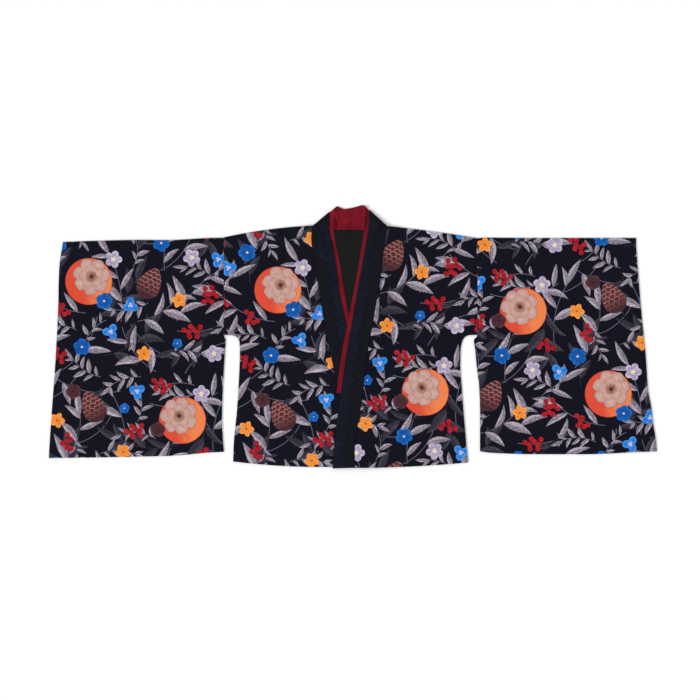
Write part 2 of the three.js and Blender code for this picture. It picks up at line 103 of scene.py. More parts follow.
@dataclass(frozen=True)
class Table:
    """A value that follows a place, given at a few rows whose places rise or fall."""

    at: tuple[float, ...]
    value: tuple[float, ...]

    def read(self, place: Array | float) -> Array:
        """The value at a place, on a cubic that never overshoots its rows.

        Each row's slope is the harmonic mean of its two neighbouring straight slopes, or zero
        where those turn round, and each stretch is the cubic with those slopes at its ends.

        Args:
            place: Where to read, held inside the table's ends.
        """
        x, y = np.array(self.at, float), np.array(self.value, float)
        if x[0] > x[-1]:
            x, y = x[::-1], y[::-1]
        span = np.diff(x)
        straight = np.diff(y) / span
        before, after = straight[:-1], straight[1:]
        same_way = before * after > 0
        harmonic = 2 * before * after / np.where(same_way, before + after, 1)
        slope = np.concatenate([straight[:1], np.where(same_way, harmonic, 0), straight[-1:]])
        i = np.clip(np.searchsorted(x, place, side="right") - 1, 0, len(span) - 1)
        t = np.clip((place - x[i]) / span[i], 0, 1)
        s = 1 - t
        ends = s * s * (1 + 2 * t) * y[i] + t * t * (3 - 2 * t) * y[i + 1]
        return ends + span[i] * t * s * (s * slope[i] - t * slope[i + 1])


# ---- meshes


def grid_quads(rows: int, across: int, loop_rows: bool = False, loop_across: bool = False) -> Array:
    """Corners of the quads of a grid whose points are numbered row by row.

    Args:
        rows: Number of rows of points.
        across: Number of points in a row.
        loop_rows: Whether the last row joins the first.
        loop_across: Whether each row's last point joins its first.

    Returns:
        One line of four point numbers for each quad; rows x columns is its outward side.
    """
    row = np.arange(rows if loop_rows else rows - 1)[:, None]
    column = np.arange(across if loop_across else across - 1)[None, :]
    next_row, next_column = (row + 1) % rows, (column + 1) % across
    quads = columns(
        row * across + column,
        next_row * across + column,
        next_row * across + next_column,
        row * across + next_column,
    )
    return quads.reshape(-1, 4).astype(np.int32)


def make_piece(
    name: str, points: Array, quads: Array, finish: Material, attributes: dict[str, Array]
) -> bpy.types.Object:
    """A mesh object at the origin, smooth shaded, from points in millimetres.

    Args:
        name: The object's name.
        points: Points as rows of x, y, z.
        quads: Four point numbers a face.
        finish: The piece's material.
        attributes: Three values a point under each attribute's name.

    Returns:
        The new object, linked into the scene.
    """
    mesh = bpy.data.meshes.new(name)
    mesh.vertices.add(len(points))
    mesh.vertices.foreach_set("co", (points * MM).astype(np.float32).ravel())
    mesh.loops.add(quads.size)
    mesh.loops.foreach_set("vertex_index", quads.ravel())
    mesh.polygons.add(len(quads))
    mesh.polygons.foreach_set("loop_start", np.arange(0, quads.size, 4, dtype=np.int32))
    mesh.update(calc_edges=True)
    mesh.shade_smooth()
    for label, values in attributes.items():
        layer = mesh.attributes.new(label, "FLOAT_VECTOR", "POINT")
        layer.data.foreach_set("vector", values.astype(np.float32).ravel())
    mesh.materials.append(finish)
    piece = bpy.data.objects.new(name, mesh)
    bpy.context.scene.collection.objects.link(piece)
    return piece


# ---- materials


def linear(colour: str) -> tuple[float, float, float, float]:
    """An sRGB hex colour as linear red, green, blue and alpha.

    The sRGB curve is c/12.92 below 0.04045, else ((c + 0.055)/1.055)^2.4.
    """
    parts = [int(colour[i : i + 2], 16) / 255 for i in (1, 3, 5)]
    straight = [c / 12.92 if c <= 0.04045 else ((c + 0.055) / 1.055) ** 2.4 for c in parts]
    return (*straight, 1.0)


def add_node(
    tree: Tree, kind: str, inputs: dict[str | int, object] | None = None, **settings: object
) -> bpy.types.Node:
    """A node with its settings, values and links.

    Args:
        tree: The material's node tree.
        kind: The node's type after "ShaderNode".
        inputs: Sockets by name or number, each a value or another node's output.
        settings: The node's own properties.

    Returns:
        The new node.
    """
    node = tree.nodes.new("ShaderNode" + kind)
    for label, value in settings.items():
        setattr(node, label, value)
    for socket, value in (inputs or {}).items():
        if isinstance(value, Socket):
            tree.links.new(value, node.inputs[socket])
        else:
            node.inputs[socket].default_value = value
    return node


def result(tree: Tree, kind: str, inputs: dict[str | int, object], **settings: object) -> Socket:
    """The first output of a new node."""
    return add_node(tree, kind, inputs, **settings).outputs[0]


# A plain colour, or the socket of a painted one.
Paint = tuple[float, float, float, float] | Socket

# The Mix node's colour sockets by number: factor, both colours and the result.
MIX_FACTOR, MIX_A, MIX_B, MIX_RESULT = 0, 6, 7, 2


def blend_colour(tree: Tree, under: Paint, over: Paint, share: Socket) -> Socket:
    """One colour laid over another where share is 1.

    Args:
        tree: The material's node tree.
        under: Colour or socket that shows where share is 0.
        over: Colour or socket that shows where share is 1.
        share: How much of the upper colour shows.

    Returns:
        The mixed colour's socket.
    """
    inputs = {MIX_FACTOR: share, MIX_A: under, MIX_B: over}
    return add_node(tree, "Mix", inputs, data_type="RGBA").outputs[MIX_RESULT]


def within(tree: Tree, value: Socket, zero_at: float, one_at: float) -> Socket:
    """A soft-edged mask from a measure in millimetres.

    Args:
        tree: The material's node tree.
        value: The measure.
        zero_at: Where the mask is 0.
        one_at: Where the mask is 1.

    Returns:
        The mask's socket.
    """
    inputs = {"Value": value, "From Min": zero_at, "From Max": one_at}
    return result(tree, "MapRange", inputs)


def painted(tree: Tree, under: Paint, *washes: tuple[Paint, Socket, float, float]) -> Socket:
    """Colours laid over one another in order, each by a measure of its own.

    Args:
        tree: The material's node tree.
        under: The colour at the bottom.
        washes: For each colour: the colour, its measure, the value at which none of it shows
            and the value at which it hides what is under it.

    Returns:
        The socket of the finished colour.
    """
    for colour, measure, bare_at, full_at in washes:
        under = blend_colour(tree, under, colour, within(tree, measure, bare_at, full_at))
    return under


def new_cloth(
    name: str, roughness: float, specular: float = 0.5
) -> tuple[Material, Tree, bpy.types.Node]:
    """A material with its node tree and its Principled shader.

    Args:
        name: The finish's name.
        roughness: Higher is more matte.
        specular: How much light its surface throws back.

    Returns:
        The material, its tree and the shader node.
    """
    material = bpy.data.materials.new(name)
    material.use_nodes = True
    shader = material.node_tree.nodes["Principled BSDF"]
    shader.inputs["Roughness"].default_value = roughness
    shader.inputs["Specular IOR Level"].default_value = specular
    return material, material.node_tree, shader


def measures(tree: Tree, name: str) -> list[Socket]:
    """The three values of an attribute."""
    read = add_node(tree, "Attribute", attribute_name=name)
    return list(add_node(tree, "SeparateXYZ", {0: read.outputs["Vector"]}).outputs)


# ---- the coat's outline

PANEL_WALL = 1.2
BAND_WALL = 1.2
TRIM_WALL = 1.0
SEAM_GAP = 0.3
BAND_GAP = 0.5
EDGE_RADIUS = 0.6

# Side edges of the body, as x at heights up the coat. The underarm curve runs in from the armhole.
LEFT_SIDE = Table(
    at=(233.1, 4.7, 3.8, 0, -9.9, -31, -97, -172, -250, -292.3),
    value=(-302.7, -302.7, -283.9, -273.3, -266.7, -265.1, -267.4, -272.1, -279.6, -281.2),
)
RIGHT_SIDE = Table(
    at=(231.5, 122, 4.7, 3.8, 0, -9.9, -31, -66, -113, -219, -294.7),
    value=(289.5, 292.8, 292.2, 273.1, 264, 257.3, 253.1, 252.4, 255.4, 263.7, 271),
)
# Heights of the body's rows between its corners, and the number of rows from an edge over which
# that edge's bend fades.
BODY_ROW_Y = (
    219, 206, 190, 170, 145, 115, 80, 45, 20, 4.7, 3.8, 0, -9.9, -31, -62, -97, -118, -132, -148,
    -168, -190, -215, -245,
)
BEND_ROWS = 4

# Top edge of the back: both shoulders and the neckline between them.
NECKLINE_Y = 250.6
BACK_TOP = Table(
    at=(-302.7, -260, -223, -185, -148, -112, -95, -75, -52, 42, 62, 83, 97, 134, 172, 210, 250, 289.5),
    value=(
        233.1, 240.8, 247.2, 253, 257.6, 259.8, 259.4, 252.6, NECKLINE_Y, NECKLINE_Y, 252.4, 255.4,
        257, 253.8, 248.2, 243, 237, 231.5,
    ),
)
BACK_HEM_DROP = 12


@dataclass(frozen=True)
class Run:
    """A stretch of the neckband by rows: its edge sewn to the coat and its edge facing the neck."""

    seam_x: tuple[float, ...]
    seam_y: tuple[float, ...]
    free_x: tuple[float, ...]
    free_y: tuple[float, ...]

    def rows(self, longest: float) -> Array:
        """Rows of seam x, seam y, free x and free y, on the tables' curve over row numbers.

        Args:
            longest: Longest step from row to row along the seam edge.
        """
        number = tuple(range(len(self.seam_x)))
        along = np.hypot(np.diff(self.seam_x), np.diff(self.seam_y))
        far = np.concatenate([[0], np.cumsum(along)])
        place = np.interp(steps_between(far, longest), far, number)
        edges = (self.seam_x, self.seam_y, self.free_x, self.free_y)
        return columns(*(Table(number, edge).read(place) for edge in edges))


@dataclass(frozen=True)
class Turn:
    """The line at a side of the neck where the neckband turns over, and its square way out."""

    seam: Pair
    free: Pair
    out: Pair


RIGHT_RUN = Run(
    seam_x=(5, 4, 6, 10.6, 16, 23, 28.4, 35.4, 46, 59, 67.4, 72.1, 75, 78.6),
    seam_y=(-307.4, -272, -240, -210, -181.4, -132, -87.4, -31, 27.7, 102.9, 157, 199.3, 226, 246),
    free_x=(-47.7, -45.4, -42, -38.8, -35.4, -27.9, -22.1, -13.6, -1.9, 12.2, 22.6, 30.3, 35.6, 38.2),
    free_y=(-308.9, -272, -240, -210, -181.4, -132, -87.4, -31, 27.7, 102.9, 157, 202, 236, 268),
)
RIGHT_TURN = Turn(seam=(82.7, 259.2), free=(35.7, 301.6), out=(0.67, 0.742))
BACK_RUN = Run(
    seam_x=(60, 42, 28, 14, -2, -18, -34, -52, -75),
    seam_y=(254, 251.3, 250.9, 250.9, 250.9, 250.9, 250.9, 251.2, 254.7),
    free_x=(33.2, 27.4, 21.2, 10, -3, -20, -29, -34.6, -37.6),
    free_y=(303.4, 308, 309, 306, 302.8, 300.4, 303.6, 305.8, 306.4),
)
LEFT_TURN = Turn(seam=(-94.7, 260.4), free=(-39.5, 307.4), out=(-0.648, 0.761))
LEFT_RUN = Run(
    seam_x=(-96.2, -97, -96.4, -93.8, -86.9, -79.4, -72.4, -65.3, -53.8, -43.6, -33.6, -24.6, -16, 2),
    seam_y=(248, 236, 222, 199.3, 157, 112.3, 67.7, 23, -31, -80, -129.7, -175, -219, -303.5),
    free_x=(-50.6, -54.6, -52, -46.6, -38.4, -32.2, -23.4, -14, -4.2, 5.6, 15.7, 24.6, 33.4, 51.4),
    free_y=(275, 250, 226, 199.3, 157, 112.3, 67.7, 23, -31, -80, -129.7, -175, -219, -302.5),
)

LEFT_SEAM = Table((LEFT_TURN.seam[1], *LEFT_RUN.seam_y), (LEFT_TURN.seam[0], *LEFT_RUN.seam_x))
LEFT_FREE = Table((LEFT_TURN.free[1], *LEFT_RUN.free_y), (LEFT_TURN.free[0], *LEFT_RUN.free_x))
RIGHT_SEAM = Table((*RIGHT_RUN.seam_y, RIGHT_TURN.seam[1]), (*RIGHT_RUN.seam_x, RIGHT_TURN.seam[0]))

# Undersides of the neckband's two runs above the table, as they lie on the pieces below them.
RIGHT_BAND_BOTTOM = Table(
    at=(310, 92, 70, 4, -20, -138, -175, -310), value=(4.1, 4.1, 6.9, 6.9, 8.2, 8.2, 5.6, 5.6)
)
LEFT_BAND_BOTTOM = Table(at=(310, -134, -165, -310), value=(4.1, 4.1, 2.8, 2.8))


class Side(Enum):
    """The viewer's left or right, as the direction from the neckband to the side seam."""

    LEFT = -1
    RIGHT = 1


# ---- folds in the cloth


@dataclass(frozen=True)
class Crease:
    """A soft ridge in laid cloth, or a trough where its height is below zero.

    Attributes:
        x, y: Middle of the ridge.
        heading: Way it runs, in degrees from +X.
        bow: How far its middle stands off the line between its ends.
        lean: How far its crest stands to its left, as a share of half its width.
    """

    x: float
    y: float
    heading: float
    length: float
    width: float
    height: float
    bow: float = 0
    lean: float = 0

    def lift(self, x: Array, y: Array) -> Array:
        """Height over the table plan: (1 - u^2)^2 along the ridge times (1 - v^2)^2 across it."""
        along, left = turned(x - self.x, y - self.y, self.heading)
        along = along / (self.length / 2)
        across = (left - self.bow * (1 - along**2)) / (self.width / 2)
        inside = (np.abs(along) < 1) & (np.abs(across) < 1)
        across = across - self.lean * (1 - across**2)
        return np.where(inside, self.height * (1 - along**2) ** 2 * (1 - across**2) ** 2, 0)


@dataclass(frozen=True)
class Rest:
    """How a cloth lies: its creases, over long low waves that never quite repeat.

    Attributes:
        wave_height: Half the height of the long waves.
        seed: Picks the waves' headings and phases.
        fade: Width along the piece's edges over which it comes down flat.
    """

    creases: tuple[Crease, ...] = ()
    wave_height: float = 0.5
    wave_length: float = 110
    seed: int = 1
    fade: float = 18

    def lift(self, x: Array, y: Array, from_edge: Array) -> Array:
        """Height above the flat cloth.

        Args:
            x, y: Places on the table plan.
            from_edge: Distance from the piece's nearest edge.

        Returns:
            Waves, as a sum of sines of three headings lifted above zero, plus the creases, all
            faded out towards the edges.
        """
        chance = np.random.default_rng(self.seed)
        waves = np.zeros_like(x)
        for heading, phase, stretch in zip(
            chance.uniform(0, math.pi, 3), chance.uniform(0, math.tau, 3), (1, 1.6, 0.62)
        ):
            along = x * math.cos(heading) + y * math.sin(heading)
            waves = waves + stretch * np.sin(math.tau * along / (self.wave_length * stretch) + phase)
        lift = self.wave_height * (1 + waves / 3.3) + sum(c.lift(x, y) for c in self.creases)
        return lift * smooth_step(0, self.fade, from_edge)


# ---- flat pieces

# The edge of a laid cloth: rings out of its outline and down over its wall, then the hem under
# it, or on a sewn edge the seam allowance, which runs on under the next piece.
HEM_WIDTH = 12
SEAM_ALLOWANCE = 8
EDGE_OUT = (0.0, 0.42, EDGE_RADIUS, 0.42, -HEM_WIDTH)


def edge_down(wall: float) -> tuple[float, ...]:
    """Depth below the upper skin of each ring of a cloth's edge."""
    middle = wall / 2
    return (0.0, 0.3 * middle, middle, 1.7 * middle, wall)


def bordered(core: Array, wall: float, facing: float = 1, sewn: int = 0) -> Array:
    """A grid of points carried round its edges.

    Each ring outside the grid moves its nearest edge point out, square to that edge, by the
    ring's place in EDGE_OUT, and down by its depth; in a corner both edges' moves add up.

    Args:
        core: Grid of points, rows x columns x 3.
        wall: Thickness of the cloth.
        facing: 1 where the skin looks up, -1 where it looks down.
        sewn: 1 where the last column is sewn to the next piece, -1 where the first is, or 0.

    Returns:
        The larger grid.
    """
    rings = len(EDGE_OUT) - 1
    rows, across = core.shape[:2]
    row, column = np.arange(-rings, rows + rings), np.arange(-rings, across + rings)
    row_ring = np.maximum(np.maximum(-row, row - rows + 1), 0)[:, None]
    column_ring = np.maximum(np.maximum(-column, column - across + 1), 0)[None, :]
    row_core, column_core = np.clip(row, 0, rows - 1), np.clip(column, 0, across - 1)
    row_end, column_end = np.where(row < 0, -1, 1)[:, None], np.where(column < 0, -1, 1)[None, :]
    ways = []
    for axis, end in enumerate((row_end, column_end)):
        flat = np.gradient(core, axis=axis)[row_core][:, column_core] * (1, 1, 0)
        long = np.maximum(np.linalg.norm(flat, axis=-1, keepdims=True), 1e-9)
        ways.append(flat / long * end[..., None])
    out, down = np.array(EDGE_OUT), np.array(edge_down(wall))
    is_sewn = (column_ring == rings) & (column_end == sewn)
    column_out = np.where(is_sewn, SEAM_ALLOWANCE, out[column_ring])
    moved = core[row_core][:, column_core].copy()
    moved += ways[0] * out[row_ring][..., None] + ways[1] * column_out[..., None]
    moved[..., 2] -= facing * np.maximum(down[row_ring], down[column_ring])
    return moved


def from_edges(rows: int, across: int, step: float) -> Array:
    """Rough distance of each point of a grid from its nearest edge."""
    row, column = np.arange(rows)[:, None], np.arange(across)[None, :]
    down, side = np.minimum(row, rows - 1 - row), np.minimum(column, across - 1 - column)
    return np.minimum(down, side) * step


@dataclass(frozen=True)
class Panel:
    """A panel of the coat's body, between two side edges and under a bent top edge.

    Its rough width and the spacing of its points set how many stand across it.
    """

    grid_step: float = 2.0
    width: float = 280
    rest: Rest = Rest()

    def body_rows(self, top: float, bottom: float) -> tuple[Array, Array, Array]:
        """Heights of the fine rows, with how much of the top and bottom bends each one takes.

        Args:
            top, bottom: Where the side edge starts and ends.

        Returns:
            Heights, and the shares of the top and of the bottom edge's bend: the square of a
            straight fall over the first and over the last four of the body's rows.
        """
        marks = (top, *BODY_ROW_Y, bottom)
        y = steps_between(marks, self.grid_step)
        number = np.interp(-y, -np.array(marks), np.arange(len(marks)))
        top_share = np.maximum(1 - number / BEND_ROWS, 0) ** 2
        bottom_share = np.maximum(1 - (len(marks) - 1 - number) / BEND_ROWS, 0) ** 2
        return y, top_share, bottom_share

    def across(self) -> Array:
        """Shares of the way from its left edge to its right one, at its points."""
        return np.linspace(0, 1, round(self.width / self.grid_step) + 1)


@dataclass(frozen=True)
class Front(Panel):
    """A front panel, from the side seam to the neckband's seam.

    It climbs to the neckband's height over the last stretch. Below the crossing the right front
    first clears the left run of the neckband, which lies under it.

    Attributes:
        rise, drop: Bends of its shoulder edge and of its hem.
        climb_width: Width over which it climbs to the neckband.
        crossing: Heights between which it comes to clear the left run.
    """

    side: Side = Side.LEFT
    rise: float = 4.5
    drop: float = 6
    climb_width: float = 60
    crossing: Pair = (-60, -112)

    def points(self) -> Array:
        """Upper skin of the panel: rows straight between its edges, over the pieces below.

        The top and bottom edges bend by the parabola 4s(1 - s) over the share s across.
        """
        is_left = self.side is Side.LEFT
        side_edge, seam_edge = (LEFT_SIDE, LEFT_SEAM) if is_left else (RIGHT_SIDE, RIGHT_SEAM)
        seam_ends = (max(seam_edge.at), min(seam_edge.at))
        side_y, top_share, bottom_share = self.body_rows(side_edge.at[0], side_edge.at[-1])
        down = (side_edge.at[0] - side_y) / (side_edge.at[0] - side_edge.at[-1])
        seam_y = mix(*seam_ends, down)
        inset = EDGE_RADIUS * self.side.value
        side_x = side_edge.read(side_y) - inset
        seam_x = seam_edge.read(seam_y) + BAND_GAP * self.side.value + inset
        across = self.across()
        bend = 4 * across * (1 - across)
        start_x, end_x = (side_x, seam_x) if is_left else (seam_x, side_x)
        start_y, end_y = (side_y, seam_y) if is_left else (seam_y, side_y)
        x = mix(start_x[:, None], end_x[:, None], across)
        y = mix(start_y[:, None], end_y[:, None], across)
        y = y + self.rise * bend * top_share[:, None] - self.drop * bend * bottom_share[:, None]
        z = self.under(x, y) + PANEL_WALL
        edge = from_edges(*x.shape, self.grid_step)
        return columns(x, y, z + self.rest.lift(x, y, edge))

    def under(self, x: Array, y: Array) -> Array:
        """Height of the panel's underside above the table."""
        flat = PANEL_WALL + SEAM_GAP
        if self.side is Side.LEFT:
            from_band, bottom = LEFT_SEAM.read(y) - x, LEFT_BAND_BOTTOM.read(y)
        else:
            from_seam = x - RIGHT_SEAM.read(y)
            from_left_run = x - np.maximum(RIGHT_SEAM.read(y), LEFT_FREE.read(y))
            over = smooth_step(-self.crossing[0], -self.crossing[1], -y)
            from_band, bottom = mix(from_seam, from_left_run, over), RIGHT_BAND_BOTTOM.read(y)
        return mix(flat, bottom, 1 - smooth_step(0, self.climb_width, from_band))


@dataclass(frozen=True)
class Back(Panel):
    """The back, printed side down on the table, from side seam to side seam."""

    def points(self) -> Array:
        """Its lower skin, the printed side, flat on the table but for its lifted rim."""
        y, top_share, bottom_share = self.body_rows(LEFT_SIDE.at[0], LEFT_SIDE.at[-1])
        left_x = LEFT_SIDE.read(y) + EDGE_RADIUS
        right_y = mix(RIGHT_SIDE.at[0], RIGHT_SIDE.at[-1], (y[0] - y) / (y[0] - y[-1]))
        right_x = RIGHT_SIDE.read(np.where(top_share > 0, right_y, y)) - EDGE_RADIUS
        across = self.across()
        top_x = mix(BACK_TOP.at[0], BACK_TOP.at[-1], across)
        rise = BACK_TOP.read(top_x) - mix(BACK_TOP.value[0], BACK_TOP.value[-1], across) - EDGE_RADIUS
        drop = BACK_HEM_DROP * 4 * across * (1 - across) - EDGE_RADIUS
        x = mix(left_x[:, None], right_x[:, None], across)
        fall = (np.linspace(1, 0, len(y)) ** 2 * (top_share > 0))[:, None]
        tilt = (BACK_TOP.value[-1] - BACK_TOP.value[0]) * across * fall
        plan_y = y[:, None] + tilt + rise * top_share[:, None] - drop * bottom_share[:, None]
        return columns(x, plan_y, np.zeros_like(x))


@dataclass(frozen=True)
class Lining(Panel):
    """The back's lining where the neck shows it, its inset short of the neckband's seams."""

    inset: float = 2

    def points(self) -> Array:
        """Upper skin of the lining: rows from the left seam to the right one, below the neckline."""
        y = steps_between((NECKLINE_Y, LEFT_RUN.seam_y[-1]), self.grid_step)
        left = LEFT_SEAM.read(y) + self.inset
        right = np.maximum(RIGHT_SEAM.read(y), LEFT_FREE.read(y)) - self.inset
        x = mix(left[:, None], right[:, None], self.across())
        y = np.broadcast_to(y[:, None], x.shape)
        edge = from_edges(*x.shape, self.grid_step)
        return columns(x, y, PANEL_WALL + SEAM_GAP + TRIM_WALL + self.rest.lift(x, y, edge))


# ---- sleeves


@dataclass(frozen=True)
class Sleeve:
    """A sleeve laid flat: one cloth folded along its top and sewn along its bottom.

    It is a flat tube, open at the cuff and along the edge beside the body. Its section runs down
    the front, round the bottom, up the back and over the top fold.

    Attributes:
        left, right: Its side edges, as x at heights.
        rise, drop: How far its top edge stands above the line between its corners, and how far
            its bottom edge hangs below it, over its width.
        grid_step: Spacing of its front's points; its back's is half as much again.
        turned_in: Width of the hem inside each open end.
        height: Thickness of the folded sleeve.
        fold_inset: How far its flat faces stop short of the folds' crests.
    """

    left: Table
    right: Table
    rise: Table
    drop: Table
    rest: Rest
    grid_step: float = 2.0
    turned_in: float = 16
    height: float = 2 * PANEL_WALL + SEAM_GAP
    fold_inset: float = 1.0
    fold_points: int = 7

    @property
    def long(self) -> float:
        """Length of its left edge."""
        return self.left.at[0] - self.left.at[-1]

    def section(self) -> tuple[Array, Array]:
        """The section as shares down the sleeve and angles of its outward side from straight up."""
        front = np.linspace(0, 1, round(self.long / self.grid_step) + 1)
        back = np.linspace(1, 0, round(self.long / (1.5 * self.grid_step)) + 1)
        fold = np.linspace(0, math.pi, self.fold_points + 2)[1:-1]
        down = np.concatenate([front, np.ones_like(fold), back, np.zeros_like(fold)])
        flat, under = np.zeros_like(front), np.full_like(back, math.pi)
        angle = np.concatenate([flat, fold, under, math.pi + fold])
        return down, angle

    def points(self) -> tuple[Array, Array]:
        """The tube's skin, up to where its ends turn in.

        At share d down it the top edge's rise counts (1 - d)^4 and the bottom's drop d^4.

        Returns:
            Points and their outward directions, section rows x columns x 3.
        """
        down, angle = self.section()
        width = self.right.read(0.0) - self.left.read(0.0)
        across = np.linspace(0, 1, round(float(width) / self.grid_step) + 1)
        left_y = mix(self.left.at[0], self.left.at[-1], down)
        right_y = mix(self.right.at[0], self.right.at[-1], down)
        left_x = self.left.read(left_y) + EDGE_RADIUS
        right_x = self.right.read(right_y) - EDGE_RADIUS
        x = mix(left_x[:, None], right_x[:, None], across)
        y = mix(left_y[:, None], right_y[:, None], across)
        d = down[:, None]
        y = y + self.rise.read(across) * (1 - d) ** 4 - self.drop.read(across) * d**4
        outward = np.abs(np.sin(angle))[:, None]
        y = y + mix(-1.0, 1.0, d) * self.fold_inset * (1 - outward)
        upward = np.cos(angle)[:, None]
        z = self.height / 2 * (1 + upward) + np.zeros_like(x)
        on_front = (angle == 0)[:, None]
        edge = np.minimum(np.minimum(d, 1 - d) * self.long, np.minimum(across, 1 - across) * width)
        z = z + np.where(on_front, self.rest.lift(x, y, edge), 0)
        direction = columns(np.zeros_like(x), -np.sin(angle)[:, None], upward)
        return columns(x, y, z), direction

    def skin(self) -> Array:
        """The tube with each end rounded over its wall and turned in."""
        points, direction = self.points()
        rings = len(EDGE_OUT) - 1
        across = points.shape[1]
        column = np.arange(-rings, across + rings)
        core = np.clip(column, 0, across - 1)
        ring = np.maximum(np.maximum(-column, column - across + 1), 0)
        out = np.array((*EDGE_OUT[:-1], -self.turned_in))[ring] * np.where(column < 0, -1, 1)
        down = np.array(edge_down(PANEL_WALL))[ring]
        moved = points[:, core].copy()
        moved[..., 0] += out
        return moved - direction[:, core] * down[:, None]


LEFT_SLEEVE = Sleeve(
    left=Table(
        at=(222.8, 204, 180.5, 133.5, 86.5, -54.5, -195.5, -266, -284.8),
        value=(-681, -684, -688, -690.7, -691.6, -698.4, -708.5, -713, -713.9),
    ),
    right=Table(
        at=(232.8, 3, -7.5, -31, -113, -190, -242, -270.2),
        value=(-303.1, -303.1, -299, -300.3, -305, -307.5, -305.4, -302.9),
    ),
    rise=Table(at=(0, 0.22, 0.42, 0.7, 0.92, 1), value=(0, 0.6, 0.4, -2.2, 0.2, 0)),
    drop=Table(at=(0, 0.22, 0.42, 0.7, 0.92, 1), value=(0, 2.2, 3.6, 5, 0.6, 0)),
    rest=Rest(
        creases=(
            Crease(-330, 150, 78, 150, 34, 1.6, 4),
            Crease(-362, 40, 62, 190, 46, 1.3, -6),
            Crease(-330, -60, 84, 150, 30, 1.1, 3),
            Crease(-450, 160, 24, 210, 60, 1.0, 8),
            Crease(-560, -20, 100, 260, 70, 0.9, 10),
            Crease(-640, 90, 86, 200, 40, 1.2, -4),
            Crease(-470, -180, 12, 230, 54, 1.1, 6),
            Crease(-600, -200, -14, 160, 40, 0.9, 4),
        ),
        wave_height=0.8,
        wave_length=150,
        seed=3,
    ),
)
RIGHT_SLEEVE = Sleeve(
    left=Table(
        at=(231.2, 122, 3, -7.5, -31, -78, -113, -172, -269.1),
        value=(289.8, 293.1, 292.5, 284.5, 287.4, 292, 296.6, 298.9, 298.9),
    ),
    right=Table(
        at=(232.2, 218, 180.5, 63, -43, -125, -172, -207, -242, -269.4),
        value=(665.2, 665.4, 667.9, 677.3, 687.8, 693.7, 702, 705.8, 711.6, 713.9),
    ),
    rise=Table(at=(0, 0.06, 0.3, 0.6, 0.85, 1), value=(0, 1.6, 0.6, 0.3, 0.1, 0)),
    drop=Table(at=(0, 0.06, 0.3, 0.6, 0.85, 1), value=(0, 3.4, 6.6, 6.6, 2.4, 0)),
    rest=Rest(
        creases=(
            Crease(322, 140, 102, 170, 36, 1.5, -4),
            Crease(350, 10, 118, 190, 44, 1.4, 5),
            Crease(330, -120, 96, 160, 30, 1.0, -3),
            Crease(450, 170, 158, 190, 56, 1.0, 7),
            Crease(560, 20, 82, 260, 70, 1.0, -8),
            Crease(630, -60, 96, 220, 44, 1.1, 5),
            Crease(480, -170, 170, 240, 52, 1.2, -7),
            Crease(610, -215, 12, 150, 38, 0.8, 4),
        ),
        wave_height=0.8,
        wave_length=160,
        seed=8,
    ),
)


# ---- neckband and inner band


# A free edge that stands back nowhere.
STRAIGHT = Table(at=(310, -310), value=(0, 0))


